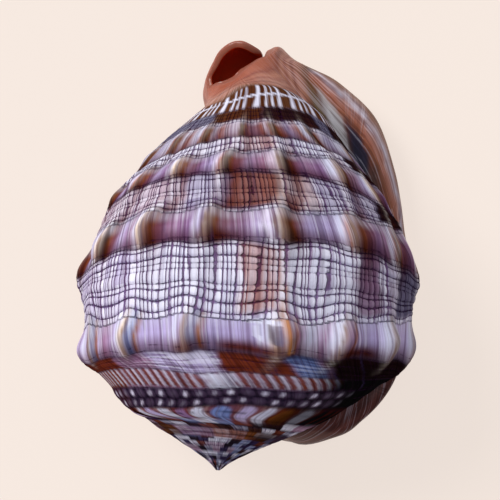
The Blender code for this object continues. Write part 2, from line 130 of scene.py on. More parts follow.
MOUTH_SHIELD = [(-15.3, 62.6, 27), (-13.6, 66.6, 28.5), (-10.0, 73.0, 31), (-4.4, 75.9, 33),
                (1.0, 74.5, 33), (3.4, 73.2, 31.5), (4.6, 71.7, 29.5)]
NECK_SHARE, THROAT_SHARE = 0.42, 0.76

# Inside: wall thickness, radius of the columella, how far its middle sinks below the coil axis, how
# far the inside is moved along the axis, the lowest height of the chamber's floor, and the step by
# which that floor draws back from the slit at the lip.
CAVITY_START, CAVITY_END_ALONG = "slope", 35.0
SLIT_START = "brow"
WALL = {"slope": 12, "brow": 7.5, "shoulder": 5.5, "belt": 4.5, "waist": 4.2, "girdle": 4.2,
        "band": 4.2, "rear": 4.2, "middle": 4.2, "fore": 4.0, "collar": 3.8, "callus": 3.6}
COLUMELLA = {"slope": 17, "brow": 20, "shoulder": 21, "belt": 22, "waist": 22, "girdle": 21,
             "band": 19, "rear": 16.5, "middle": 14, "fore": 10.5, "collar": 7.5, "callus": 5.5}
COLUMELLA_SINK = {"slope": 0, "brow": 0, "shoulder": 0, "belt": 0, "waist": 0, "girdle": 0,
                  "band": 1, "rear": 2.5, "middle": 4.5, "fore": 8, "collar": 11.5, "callus": 15}
INNER_SHIFT = {"slope": 3, "brow": 2.5, "shoulder": 1.5, "belt": 1, "waist": 0, "girdle": -1,
               "band": -1.5, "rear": -2, "middle": -3, "fore": -4, "collar": -5, "callus": -6}
INNER_FLOOR, SEAM_RISE = 12.5, 2.0
LIP_SHELF = 1.6
INNER_ANGLES_LIP = [-60, -54, -48, -42, -35, -28, -20]
INNER_ANGLES_BODY = (-12, 216)
COLUMELLA_ANGLES = [236, 214, 160, 90, 30, -15]
CANAL_WALL = 2.4
THROAT_DROP = np.array([0.8, -2.5, -6.0])

# Knobs in four spiral rows: place along the axis, share of the way from the right groove over the
# back to the left one, and height, with the reach of each knob in its row.
KNOB_ROWS = [
    (6.5, [(43.0, 0.96, 2.0), (42.5, 0.87, 4.0), (43.5, 0.70, 3.0), (44.0, 0.575, 3.6),
           (46.0, 0.44, 5.4), (46.5, 0.355, 4.0), (46.0, 0.27, 3.8), (45.5, 0.16, 3.4)]),
    (7.0, [(77.0, 0.91, 3.8), (82.5, 0.80, 2.4), (81.5, 0.66, 3.0), (80.5, 0.55, 3.4),
           (82.0, 0.445, 4.0), (85.0, 0.31, 3.6), (83.0, 0.19, 2.4), (76.5, 0.14, 2.6)]),
    (5.5, [(100.5, 0.83, 1.8), (101.5, 0.74, 2.0), (101.5, 0.63, 2.0), (102.0, 0.51, 2.2),
           (104.0, 0.41, 2.2), (106.5, 0.29, 2.4), (105.5, 0.18, 1.8)]),
    (4.0, [(113.0, 0.81, 1.0), (113.0, 0.67, 1.2), (113.5, 0.60, 1.2), (114.5, 0.52, 1.3),
           (115.0, 0.45, 1.3), (117.0, 0.38, 1.3), (120.0, 0.30, 1.2)]),
]

# Distance between one control column and the next.
COLUMN_SPACING = [7, 4, 11, 11, 7, 7, 9] + [22.8] * (BODY_COLUMNS - 1) + [8, 11, 22, 20, 17, 4, 7]
CANAL_SPACING = [7.5, 7.5, 7.5]

# Points nearer to each other than this are one, and edges shorter than this are dropped, in metres.
MERGE_DISTANCE, SHORTEST_EDGE = 2e-6, 1e-6


def ring_point(station, angle, shrink=0.0, shift=0.0):
    """Point on a station's ring, moved in by shrink and along the axis by shift."""
    c, s = math.cos(math.radians(angle)), math.sin(math.radians(angle))
    left, right = RADIUS_LEFT[station], RADIUS_RIGHT[station]
    radius = right if c > 0 else left
    height = HEIGHT_SHARE[station] * (left + right) / 2
    side = ALONG_LEFT[station] * (1 - c) / 2 + ALONG_RIGHT[station] * (1 + c) / 2
    back = max(s, 0.0) ** BACK_SWAY
    along = ALONG_BACK[station] * back + side * (1 - back) + shift
    return APEX + AXIS * along + SIDE * (radius - shrink) * c + UP * (height - shrink) * s


def mix(a, b, share):
    return np.asarray(a, float) * (1 - share) + np.asarray(b, float) * share


def with_z(point, z):
    return np.array([point[0], point[1], z])


def body_angles(station):
    return np.linspace(GROOVE_RIGHT[station], GROOVE_LEFT[station], BODY_COLUMNS)


def outer_station(station):
    """Control points of one station's outside, from the slit's lip edge to its shield edge."""
    name = STATIONS[station]
    body = [ring_point(station, a) for a in body_angles(station)]
    if name not in LIP_RIM:
        lip = [ring_point(station, a) for a in RING_ANGLES_LIP]
        shield = [ring_point(station, a) for a in RING_ANGLES_SHIELD]
        return np.array(lip + body + shield)
    rim = np.array(LIP_RIM[name], float)
    edge = ring_point(station, SHIELD_ANGLE, -SHIELD_LEDGE)
    edge = np.array(SHIELD_RIM.get(name, edge), float)
    slit, half = np.array(SLIT[name] + (0.0,)), SLIT_HALF[name]
    depth = SLIT_DEPTH if half else SEAM_DEPTH
    corner = half if half else SEAM_HALF
    crest_lift = CREST_LIFT if half else 0.0
    step = np.array([1.0, 0.0, 0.0])
    lip = [with_z(slit + step * (half * LIP_INNER_EDGE), depth),
           with_z(slit + step * corner, depth * SLIT_CORNER),
           with_z(slit + step * (corner + CREST), crest_lift),
           with_z(mix(slit, rim, LIP_PAD), PAD_DIP),
           with_z(mix(slit, rim, LIP_TURN), LIP_TURN_HEIGHT), rim,
           mix(rim, body[0], LIP_BACK) + [0, 0, LIP_BACK_RISE * (body[0][2] - rim[2])]]
    shield = [edge, with_z(mix(edge, slit, SHIELD_TURN), edge[2] * SHIELD_TURN_RISE),
              with_z(mix(edge, slit, SHIELD_PAD_OUTER), PAD_DIP * SHIELD_PAD_OUTER_DIP),
              with_z(mix(edge, slit, SHIELD_PAD_INNER), PAD_DIP),
              with_z(slit - step * (corner + CREST), crest_lift),
              with_z(slit - step * corner, depth * SLIT_CORNER),
              with_z(slit - step * (half * SHIELD_INNER_EDGE), depth)]
    station_points = np.array(lip + body + shield)
    if name == REAR_EDGE:
        station_points[:, 2] = np.maximum(station_points[:, 2], REAR_EDGE_LIFT)
    return station_points


def resample(points, count):
    """The same number of points spread evenly along a line."""
    points = np.array(points, float)
    lengths = np.concatenate([[0], np.cumsum(np.linalg.norm(np.diff(points, axis=0), axis=1))])
    places = np.linspace(0, lengths[-1], count)
    return np.stack([np.interp(places, lengths, points[:, k]) for k in range(3)], axis=1)


def outer_net():
    net = [outer_station(i) for i in range(len(STATIONS))]
    last_body = net[-1][len(RING_ANGLES_LIP):len(RING_ANGLES_LIP) + BODY_COLUMNS]
    edge = resample(MOUTH_BACK, BODY_COLUMNS)
    for lip, share, shield in ((NECK_LIP, NECK_SHARE, NECK_SHIELD),
                               (THROAT_LIP, THROAT_SHARE, THROAT_SHIELD),
                               (MOUTH_LIP, 1.0, MOUTH_SHIELD)):
        net.append(np.concatenate([np.array(lip, float), mix(last_body, edge, share),
                                   np.array(shield, float)]))
    return np.array(net)


def inner_station(station, outside):
    """Control points of one station's inside: outer wall, blind end, then the columella."""
    name = STATIONS[station]
    wall, core, sink = WALL[name], COLUMELLA[name], COLUMELLA_SINK[name]
    angles = INNER_ANGLES_LIP + list(np.linspace(*INNER_ANGLES_BODY, BODY_COLUMNS))
    points = [ring_point(station, a, wall, INNER_SHIFT[name]) for a in angles]
    centre = ring_point(station, 0) * 0.5 + ring_point(station, 180) * 0.5
    middle = APEX + AXIS * np.dot(centre - APEX, AXIS) - UP * sink
    for k, angle in enumerate(COLUMELLA_ANGLES):
        ray = SIDE * math.cos(math.radians(angle)) + UP * math.sin(math.radians(angle))
        on_core = middle + ray * core
        points.append(mix(points[-1], on_core, 0.5) if k == 0 else on_core)
    points.append(outside[-1] * 1.0)
    points[0] = outside[0] * 1.0
    for k in range(1, len(points) - 1):
        points[k] = with_z(points[k], max(points[k][2], INNER_FLOOR))
    for k in range(1, len(INNER_ANGLES_LIP)):
        points[k][0] = max(points[k][0], outside[0][0] + LIP_SHELF * k)
    if STATIONS.index(name) < STATIONS.index(SLIT_START):
        seam = with_z(mix(points[1], points[-2], 0.5), INNER_FLOOR + SEAM_RISE)
        points[0], points[-1] = seam, seam
    if name == CAVITY_START:
        points = [p + AXIS * (CAVITY_END_ALONG - (p - APEX) @ AXIS) for p in points]
    return np.array(points)


def toward(point, goal, distance):
    ray = goal - point
    return point + ray / np.linalg.norm(ray) * distance


def canal_stations(outer, last_inner):
    """Inside of the canal: a thin rim at the mouth, then a passage that dives under its back edge."""
    lips = len(RING_ANGLES_LIP)
    body = slice(lips, lips + BODY_COLUMNS)
    stations = []
    for outside in outer:
        centre = outside[lips:-1].mean(axis=0)
        inside = np.array([toward(p, centre, CANAL_WALL) for p in outside])
        stations.append(inside)
    neck, throat, mouth = stations
    throat[body] = mouth[body] + THROAT_DROP
    neck[body] = mix(last_inner[body], throat[body], 0.5)
    for inside, outside in zip(stations, outer):
        inside[0], inside[-1] = outside[0], outside[-1]
        for k in range(1, lips):
            inside[k] = mix(outside[0], inside[lips], k / lips)
    return stations


def spline_weights(knots, places):
    """Weights that read a smooth curve through values at knots: cubic, tangents from neighbours."""
    knots = np.asarray(knots, float)
    count = len(knots)
    slopes = np.zeros((count, count))
    for i in range(count):
        a, b = max(i - 1, 0), min(i + 1, count - 1)
        if 0 < i < count - 1:
            before, after = knots[i] - knots[a], knots[b] - knots[i]
            share = after / (before + after)
            slopes[i, a] -= share / before
            slopes[i, i] += share / before - (1 - share) / after
            slopes[i, b] += (1 - share) / after
        else:
            slopes[i, a], slopes[i, b] = -1 / (knots[b] - knots[a]), 1 / (knots[b] - knots[a])
    rows = []
    for place in places:
        j = min(max(int(np.searchsorted(knots, place, side="right")) - 1, 0), count - 2)
        width = knots[j + 1] - knots[j]
        t = (place - knots[j]) / width
        row = np.zeros(count)
        row[j] += 2 * t ** 3 - 3 * t ** 2 + 1
        row[j + 1] += -2 * t ** 3 + 3 * t ** 2
        row += (t ** 3 - 2 * t ** 2 + t) * width * slopes[j]
        row += (t ** 3 - t ** 2) * width * slopes[j + 1]
        rows.append(row)
    return np.array(rows)


def spread(knots, steps):
    """Places between knots, with the given number of steps in each interval."""
    places = [knots[0]]
    for low, high, count in zip(knots[:-1], knots[1:], steps):
        places += [low + (high - low) * (k + 1) / count for k in range(count)]
    return places


def surface(net, row_knots, rows, column_knots, columns):
    across = spline_weights(column_knots, columns)
    down = spline_weights(row_knots, rows)
    return np.einsum("ri,ijk,cj->rck", down, net, across)


def add_knobs(outside, outer, row_knots, column_knots):
    """Push the outside away from the coil axis around each knob."""
    lips = len(RING_ANGLES_LIP)
    start, end = column_knots[lips], column_knots[lips + BODY_COLUMNS - 1]
    from_apex = outside - APEX
    outward = from_apex - (from_apex @ AXIS)[..., None] * AXIS
    outward /= np.maximum(np.linalg.norm(outward, axis=-1, keepdims=True), 1.0)
    push = np.zeros(outside.shape[:2])
    for reach, knobs in KNOB_ROWS:
        for along, share, height in knobs:
            place = start + (end - start) * share
            centre = surface(outer, row_knots, [along], column_knots, [place])[0, 0]
            distance = np.linalg.norm(outside - centre, axis=-1)
            push += height * np.exp(-(distance / reach) ** 2)
    return outside + outward * push[..., None]


# Steps of the inside from one control column, and one control row, to the next. The outside has
# FINE times as many.
FINE = 3
OUTSIDE_COLUMNS = [1, 1, 3, 3, 2, 2, 3] + [8] * (BODY_COLUMNS - 1) + [2, 3, 4, 4, 3, 1, 2]
OUTSIDE_ROWS = [1, 2, 4, 2, 2, 4, 6, 3, 4, 6, 9, 5, 6, 5, 6, 5, 3, 3, 3, 3]


def surface_normals(points):
    """Outward direction at each place of the outside sheet."""
    down = np.gradient(points, axis=0)
    across = np.gradient(points, axis=1)
    normals = np.cross(across, down)
    length = np.linalg.norm(normals, axis=-1, keepdims=True)
    return -normals / np.maximum(length, 1e-9)


def smooth_step(low, high, value):
    t = np.clip((value - low) / (high - low), 0.0, 1.0)
    return t * t * (3 - 2 * t)


class Form:
    """The two sheets of the shell, with the row, share and place of every point of the outside."""

    def __init__(self):
        outer = outer_net()
        row_knots = np.concatenate([ALONG_BACK, ALONG_BACK[-1] + np.cumsum(CANAL_SPACING)])
        column_knots = np.concatenate([[0], np.cumsum(COLUMN_SPACING)])
        row_steps = [FINE * n for n in OUTSIDE_ROWS]
        rows = np.array(spread(row_knots, row_steps))
        columns = np.array(spread(column_knots, [FINE * n for n in OUTSIDE_COLUMNS]))
        first = STATIONS.index(CAVITY_START)
        self.slit_row = sum(row_steps[:STATIONS.index(SLIT_START)])
        outside = surface(outer, row_knots, rows, column_knots, columns)
        outside = add_knobs(outside, outer, row_knots, column_knots)
        inner = [inner_station(i, outer[i]) for i in range(first, len(STATIONS))]
        inner += canal_stations(outer[len(STATIONS):], inner[-1])
        first_row = sum(row_steps[:first])
        inside = surface(np.array(inner), row_knots[first:], rows[first_row::FINE], column_knots,
                         columns[::FINE])
        self.inside_rim = spline_weights(column_knots, columns) @ inner[-1]
        self.inner_slit_row = (self.slit_row - first_row) // FINE
        start = column_knots[len(RING_ANGLES_LIP)]
        end = column_knots[len(RING_ANGLES_LIP) + BODY_COLUMNS - 1]
        self.share = np.broadcast_to((columns - start) / (end - start), outside.shape[:2]).copy()
        self.along = np.broadcast_to(rows[:, None], outside.shape[:2]).copy()
        self.outside, self.inside = outside, inside
        corners = self.flat_corners()
        self.middle = (corners[0] + corners[1]) / 2
        self.middle[2] = 0.0

    def flat_corners(self):
        flat = self.outside.copy()
        flat[..., 2] = np.maximum(flat[..., 2], 0.0)
        return flat.min(axis=(0, 1)), flat.max(axis=(0, 1))


# Spiral grooves from the spire to the canal: each one as (share, place along the axis) pairs.
GROOVE_LINES = [
    [(0.0, 17.0), (0.3, 16.0), (1.0, 15.5)],
    [(0.0, 24.0), (0.39, 23.0), (0.49, 23.0), (0.59, 20.0), (0.70, 19.5), (1.0, 19.0)],
    [(0.0, 29.0), (0.42, 28.0), (0.50, 28.0), (0.58, 26.0), (0.70, 25.5), (1.0, 25.5)],
    [(0.0, 34.0), (0.34, 32.8), (0.50, 33.0), (0.58, 31.0), (0.67, 32.0), (1.0, 32.0)],
    [(0.0, 42.5), (0.28, 42.0), (0.43, 40.0), (0.51, 39.0), (0.60, 38.5), (0.73, 37.0), (1.0, 38.0)],
    [(0.0, 54.0), (0.26, 52.8), (0.33, 53.5), (0.43, 51.5), (0.50, 51.5), (0.60, 51.0),
     (0.71, 49.5), (1.0, 52.0)],
    [(0.0, 76.0), (0.15, 77.0), (0.29, 78.5), (0.38, 78.8), (0.51, 75.0), (0.65, 74.2), (0.80, 75.5),
     (1.0, 74.0)],
    [(0.0, 92.0), (0.06, 93.0), (0.33, 91.2), (0.42, 88.5), (0.51, 86.5), (0.60, 86.0), (0.74, 87.0),
     (1.0, 85.0)],
    [(0.0, 99.0), (0.17, 99.5), (0.34, 101.5), (0.45, 100.0), (0.55, 97.8), (0.68, 97.5), (0.84, 97.5),
     (1.0, 95.0)],
    [(0.0, 109.0), (0.19, 109.5), (0.31, 110.8), (0.44, 108.0), (0.56, 105.5), (0.70, 104.2),
     (1.0, 103.0)],
    [(0.0, 114.0), (0.20, 115.0), (0.39, 114.3), (0.52, 111.5), (0.66, 107.8), (1.0, 107.0)],
    [(0.0, 120.5), (0.14, 121.5), (0.35, 121.5), (0.48, 118.6), (0.62, 116.8), (1.0, 114.5)],
    [(0.0, 127.5), (0.29, 127.8), (0.42, 125.0), (0.54, 122.0), (1.0, 120.0)],
    [(0.0, 133.5), (0.26, 133.0), (0.38, 131.0), (0.47, 128.7), (0.56, 126.3), (1.0, 125.0)],
    [(0.0, 138.5), (0.28, 138.0), (0.39, 135.4), (0.48, 133.0), (0.60, 127.5), (1.0, 129.0)],
]

# Cords between the grooves: first row, last row, height in mm, and whether the cord is beaded.
CORDS = [
    (-3.2, -2.9, 0.15, False), (-2.9, -2.6, 0.15, True), (-2.6, -2.3, 0.15, False),
    (-2.3, -2.0, 0.2, True), (-2.0, -1.7, 0.15, False), (-1.7, -1.4, 0.2, True),
    (-1.4, -1.18, 0.2, True), (-1.18, -0.95, 0.2, True), (-0.95, -0.6, 0.15, False),
    (-0.6, -0.25, 0.15, False), (-0.25, 0.0, 0.1, True), (0.0, 0.15, 0.15, False),
    (0.15, 0.9, 0.5, False), (0.9, 1.0, 0.1, False), (1.0, 1.48, 0.35, False), (1.48, 2.0, 0.35, False),
    (2.0, 2.12, 0.1, False), (2.12, 3.0, 0.45, False), (3.0, 3.22, 0.2, False),
    (3.22, 3.62, 0.25, False), (3.62, 4.0, 0.25, False), (4.0, 4.14, 0.15, False),
    (4.14, 4.86, 0.1, False), (4.86, 5.0, 0.15, True), (5.0, 5.16, 0.35, True),
    (5.16, 5.32, 0.35, True), (5.32, 5.40, 0.12, True), (5.40, 5.61, 0.6, True),
    (5.61, 5.69, 0.12, True), (5.69, 5.78, 0.2, True), (5.78, 5.94, 0.5, True), (5.94, 6.0, 0.15, True),
    (6.0, 6.12, 0.15, True), (6.12, 6.9, 0.1, False), (6.9, 7.0, 0.12, True), (7.0, 7.14, 0.3, True),
    (7.14, 7.42, 0.5, True), (7.42, 7.52, 0.15, True), (7.52, 7.84, 0.55, True),
    (7.84, 8.0, 0.25, True), (8.0, 8.12, 0.15, True), (8.12, 8.9, 0.1, False), (8.9, 9.0, 0.1, True),
    (9.0, 9.5, 0.4, True), (9.5, 10.0, 0.4, True), (10.0, 10.85, 0.3, False), (10.85, 11.0, 0.1, True),
    (11.0, 11.34, 0.22, True), (11.34, 11.67, 0.22, True), (11.67, 12.0, 0.22, True),
    (12.0, 12.9, 0.2, True), (12.9, 13.08, 0.25, False), (13.08, 14.0, 0.2, True),
    (14.0, 15.0, 0.0, False),
]
# Length in mm from the lip's groove over the back to the shield's, the height of a cord's crown for
# its stated height, and the power that rounds it.
BACK_LENGTH, CROWN_SHARE, CROWN_POWER = 165.0, 0.75, 0.8

# Axial folds through the knobs, each one as (row, share, height in mm).
FOLDS = [
    [(3.2, 0.17, 0.0), (4.5, 0.165, 1.0), (5.5, 0.16, 0.5), (6.6, 0.15, 0.8), (8.5, 0.14, 0.5),
     (11.0, 0.12, 0.0)],
    [(3.2, 0.29, 0.0), (4.5, 0.265, 1.2), (5.4, 0.262, 0.5), (6.5, 0.225, 1.1), (7.5, 0.215, 0.6),
     (8.5, 0.215, 0.9), (10.5, 0.21, 0.5), (11.9, 0.2, 0.0)],
    [(3.0, 0.40, 0.0), (4.5, 0.362, 1.2), (5.4, 0.345, 0.5), (6.5, 0.336, 1.3), (7.5, 0.32, 0.6),
     (8.5, 0.311, 1.1), (9.5, 0.305, 0.5), (10.5, 0.337, 0.8), (11.9, 0.34, 0.0)],
    [(3.0, 0.47, 0.0), (4.5, 0.447, 1.5), (5.5, 0.444, 0.7), (6.5, 0.454, 1.4), (7.5, 0.434, 0.9),
     (8.5, 0.428, 1.3), (9.5, 0.42, 0.6), (10.5, 0.425, 0.8), (11.9, 0.42, 0.0)],
    [(3.0, 0.60, 0.0), (4.5, 0.585, 0.9), (5.5, 0.57, 0.4), (6.5, 0.553, 1.2), (7.5, 0.54, 0.6),
     (8.5, 0.523, 1.1), (9.5, 0.50, 0.4), (10.5, 0.488, 0.7), (11.9, 0.48, 0.0)],
    [(3.2, 0.71, 0.0), (4.5, 0.69, 1.0), (5.5, 0.665, 0.4), (6.5, 0.66, 1.1), (7.5, 0.63, 0.5),
     (8.5, 0.612, 1.0), (9.5, 0.60, 0.4), (10.5, 0.575, 0.6), (11.9, 0.57, 0.0)],
    [(3.2, 0.83, 0.0), (4.5, 0.82, 1.1), (5.5, 0.79, 0.5), (6.5, 0.77, 1.1), (7.5, 0.74, 0.5),
     (8.5, 0.71, 0.7), (10.5, 0.655, 0.6), (11.9, 0.65, 0.0)],
    [(3.2, 0.95, 0.0), (4.5, 0.94, 1.0), (6.5, 0.90, 1.0), (8.5, 0.83, 0.8), (10.5, 0.77, 0.4),
     (11.9, 0.76, 0.0)],
]
# Widths in share: a fold's gentle left side, its steep right side, the valley beside it and its
# crest, with the places of the last two, and how deep the valley is for the fold's height.
LEFT_SIDE, RIGHT_SIDE = 0.03, 0.009
VALLEY_PLACE, VALLEY_WIDTH, VALLEY_DEPTH = -0.021, 0.013, 0.45
CREST_PLACE, CREST_WIDTH = 0.004, 0.008
# The knobs' coloured faces start, and their rows are widest, a little to the left of the folds.
FACE_OFFSET = 0.012
# How much the rows of knobs widen: (middle row, amount), how far that reaches in rows, and the
# nearness to a knob at which a row keeps its width.
SWELLS = ((4.5, 0.34), (6.5, 0.26), (8.5, 0.24), (10.5, 0.16))
SWELL_REACH, EVEN_NEARNESS = 0.8, 0.35
# Width in mm of a row beyond the first and the last groove.
OUTER_ROW = 5.0


def row_numbers(share, along):
    """Row number at each place: whole numbers on the grooves, and a steady count beyond them."""
    lines = []
    for line in GROOVE_LINES:
        shares, places = zip(*line)
        lines.append(np.interp(share[0], shares, places))
    lines = np.array(lines)
    numbers = np.zeros_like(share)
    for column in range(share.shape[1]):
        knots = lines[:, column]
        place = along[:, column]
        inside = np.interp(place, knots, np.arange(len(knots)))
        before = np.minimum(place - knots[0], 0.0) / OUTER_ROW
        after = np.maximum(place - knots[-1], 0.0) / OUTER_ROW
        numbers[:, column] = inside + before + after
    return numbers


def swell_rows(rows, share):
    """Rows that widen around each knob, so that the grooves bend round it."""
    bulge = np.zeros_like(rows)
    for fold in FOLDS:
        places, shares, _ = zip(*fold)
        left = share - FACE_OFFSET - np.interp(rows, places, shares)
        bulge = np.maximum(bulge, np.exp(-(left / LEFT_SIDE) ** 2))
    shift = np.zeros_like(rows)
    for middle, amount in SWELLS:
        away = rows - middle
        shift += amount * away * np.exp(-(away / SWELL_REACH) ** 2)
    return rows - shift * (bulge - EVEN_NEARNESS)


def on_shield(share):
    """1 on the smooth shield."""
    return smooth_step(0.975, 1.012, share)


def dorsal_mask(share):
    """1 on the sculptured back, 0 on the smooth lip and shield."""
    return smooth_step(-0.012, 0.02, share) * (1 - on_shield(share))


def folds(rows, share):
    """Height of the axial folds in mm, which rise slowly from the left and drop quickly to the
    right, and how near its crest and how deep in the valley beside it each place is, 0 to 1."""
    height, crest, valley = np.zeros_like(rows), np.zeros_like(rows), np.zeros_like(rows)
    for fold in FOLDS:
        places, shares, heights = zip(*fold)
        left = share - np.interp(rows, places, shares)
        tall = np.interp(rows, places, heights, left=0.0, right=0.0)
        height += tall * np.exp(-(left / np.where(left > 0, LEFT_SIDE, RIGHT_SIDE)) ** 2)
        low = np.exp(-((left - VALLEY_PLACE) / VALLEY_WIDTH) ** 2)
        height -= VALLEY_DEPTH * tall * low
        valley = np.maximum(valley, np.minimum(tall, 1.0) * low)
        near = np.exp(-((left - CREST_PLACE) / CREST_WIDTH) ** 2)
        crest = np.maximum(crest, np.minimum(tall, 1.0) * near)
    return height, crest, valley


def cord_relief(rows):
    """Rounded cords between fine grooves."""
    relief = np.zeros_like(rows)
    for first, last, height, _ in CORDS:
        t = (rows - first) / (last - first)
        inside = (t > 0) & (t < 1)
        crown = np.clip(4 * t * (1 - t), 0, 1) ** CROWN_POWER
        relief[inside] += (CROWN_SHARE * height * crown)[inside]
    return relief


def make_sheet(name, points):
    """A grid whose points are moved to their places on the shell."""
    count = points.shape[:2]
    bpy.ops.mesh.primitive_grid_add(x_subdivisions=count[1] - 1, y_subdivisions=count[0] - 1, size=1)
    sheet = bpy.context.object
    sheet.name = name
    sheet.data.vertices.foreach_set("co", (points * MM).astype(np.float32).ravel())
    return sheet


# Shell colours, as they look on screen.
COLOURS = {
    "white": (222, 222, 242), "cream": (228, 210, 192), "lavender": (182, 170, 206),
    "violet": (146, 114, 154), "mauve": (166, 130, 160), "pink": (212, 182, 198),
    "blush": (222, 190, 190), "salmon": (184, 128, 116), "orange": (156, 96, 60),
    "brown": (118, 78, 58), "red_brown": (122, 60, 46), "dark": (64, 40, 40), "black": (32, 20, 24),
    "night": (62, 50, 88), "blue": (122, 138, 190), "dusk": (128, 126, 156), "olive": (108, 88, 50),
    "callus": (168, 100, 80), "rim": (146, 84, 66), "canal": (224, 84, 44),
    "spot": (222, 216, 240), "ash": (178, 176, 178), "ink_blue": (34, 38, 62), "gold": (186, 120, 56),
}


def on_screen(colour):
    """Colour values that show as the given screen colour."""
    part = np.array(colour, float) / 255
    return np.where(part <= 0.04045, part / 12.92, ((part + 0.055) / 1.055) ** 2.4)


# The bands between the knobs: first row, last row, ground colour, and a few broad patches on it.
GROUNDS = [
    (-9.0, -2.6, "olive", []), (-2.6, -0.95, "dusk", []),
    (-0.95, 0.0, "mauve", [(0.3, 0.45, "orange"), (0.45, 0.57, "salmon"), (0.73, 0.9, "brown")]),
    (0.0, 1.0, "lavender", []),
    (1.0, 2.0, "night", [(0.75, 0.9, "red_brown")]),
    (2.0, 3.0, "mauve", [(0.0, 0.37, "black"), (0.51, 0.56, "white"), (0.75, 1.0, "red_brown")]),
    (3.0, 4.0, "mauve", [(0.0, 0.38, "dark"), (0.39, 0.44, "blue"), (0.44, 0.54, "red_brown"),
                         (0.54, 0.66, "lavender"), (0.74, 1.0, "red_brown")]),
    (5.0, 6.0, "white", [(0.0, 0.25, "dusk"), (0.29, 0.34, "mauve"), (0.45, 0.51, "salmon"),
                         (0.67, 1.0, "lavender")]),
    (7.0, 8.0, "lavender", [(0.0, 0.25, "dark"), (0.38, 0.43, "blush"), (0.43, 0.52, "salmon"),
                            (0.6, 1.0, "pink")]),
    (9.0, 10.0, "white", [(0.0, 0.26, "dark"), (0.43, 0.49, "blush")]),
    (11.0, 12.0, "dusk", [(0.0, 0.24, "dark"), (0.29, 0.44, "dark"), (0.44, 0.58, "brown")]),
    (12.0, 14.2, "brown", []),
]
# The rows of knobs: first row, colours for the knobs' faces, colours for the hollows beside them, which
# are partly the shell's own colours and partly painted shade.
KNOB_TINTS = [
    (4.0, ["lavender", "mauve", "white", "lavender"], ["blue", "dusk", "violet"]),
    (6.0, ["lavender", "violet", "mauve"], ["brown", "dark", "red_brown"]),
    (8.0, ["mauve", "lavender", "violet"], ["dark", "red_brown", "brown"]),
    (10.0, ["lavender", "white", "salmon"], ["brown", "dark"]),
]
# Brown at the feet of a few knobs: (row, first share, last share).
KNOB_FEET = [(4.0, 0.44, 0.54), (4.0, 0.3, 0.38), (4.0, 0.58, 0.61), (6.0, 0.52, 0.57)]
# Half the width over which a patch fades: in rows, in share, and in rows where it ends more sharply.
ROW_SOFTNESS, SHARE_SOFTNESS, SHARP_SOFTNESS = 0.08, 0.008, 0.05
# Growth lines are this far apart in mm, and lean by this share for each row near the spire.
RIB_SPACING, LEAN = 1.5, 0.024
# Distance in share from one knob to the next beyond the outermost folds, and how many there are.
KNOB_SPACING, FURTHER_KNOBS = 0.085, 4
# How often a pattern repeats from groove to groove, and the dashes' rows for each row number.
PATCH_COUNT, SPOT_COUNT, STROKE_COUNT, DASH_COUNT, DASH_ROWS = 23, 37, 58, 19, 3.3
# Random picks repeat after this many.
PICKS = 64
# How much purer the colours are made, and the limits of the paint.
SATURATION, DARKEST, LIGHTEST = 1.22, 0.004, 0.86

PATCH_TINTS = ["white", "lavender", "blue", "orange", "white", "violet", "black"]
DASH_COLOURS = ["black", "dark", "red_brown", "blue", "white", "night", "mauve", "dusk"]

# Strength of the thin dark growth lines in each band.
LINE_STRENGTH = {-4: 0.2, -3: 0.2, -2: 0.2, -1: 0.1, 0: 0.2, 1: 0.1, 2: 0.2, 3: 0.25, 4: 0.2, 5: 0.85,
                 6: 0.25, 7: 0.9, 8: 0.25, 9: 0.8, 10: 0.3, 11: 0.7, 12: 0.0, 13: 0.0, 14: 0.0}

# Strength of the dark dashes at the edges of some cords, by the cord's first row.
GAP_STRENGTH = {5.0: 0.9, 5.16: 1.0, 5.32: 0.8, 5.69: 0.5, 5.78: 1.0, 5.94: 0.9, 7.0: 0.8, 7.14: 0.6,
                7.84: 0.9, 9.0: 0.7, 9.5: 0.8, 6.0: 0.7, 8.0: 0.7, 4.0: 0.5, 1.0: 0.8, 1.48: 0.9}

# Streaks along the lip, from its outer face to the groove beside the body: (share, colour).
UPPER_LIP = [(-0.15, (190, 136, 110)), (-0.085, (166, 116, 92)), (-0.072, (136, 92, 70)),
             (-0.064, (150, 106, 86)), (-0.059, (172, 142, 142)), (-0.055, (206, 198, 214)),
             (-0.051, (160, 118, 116)), (-0.047, (182, 124, 108)), (-0.042, (166, 100, 82)),
             (-0.036, (148, 82, 50)), (-0.029, (118, 60, 42)), (-0.022, (84, 42, 34)),
             (-0.012, (74, 50, 44)), (-0.004, (50, 34, 32))]
LOWER_LIP = [(-0.15, (100, 52, 42)), (-0.085, (106, 56, 46)), (-0.072, (124, 92, 86)),
             (-0.062, (86, 38, 30)), (-0.054, (116, 62, 54)), (-0.046, (80, 34, 28)),
             (-0.036, (100, 50, 44)), (-0.026, (70, 30, 26)), (-0.010, (42, 24, 24))]
# Bands around the smooth canal end: (row, colour).
CANAL_BANDS = [(13.8, (110, 76, 58)), (14.2, (160, 108, 88)), (14.6, (178, 122, 104)),
               (14.9, (140, 84, 70)), (15.2, (184, 128, 108)), (15.6, (158, 94, 78)),
               (16.0, (186, 124, 100)), (16.5, (150, 84, 68)), (17.0, (176, 104, 80)),
               (18.0, (168, 92, 66))]


def cover(paint, mask, colours):
    """Lay colours over the paint where the mask is 1."""
    paint += mask[..., None] * (colours - paint)


def blend_in(paint, mask, name):
    cover(paint, mask, on_screen(COLOURS[name]))


def darken(paint, mask, amounts):
    """Take the given shares of red, green and blue away where the mask is 1."""
    paint *= 1 - mask[..., None] * np.array(amounts)


def brightness(paint):
    return paint @ np.array((0.21, 0.72, 0.07))


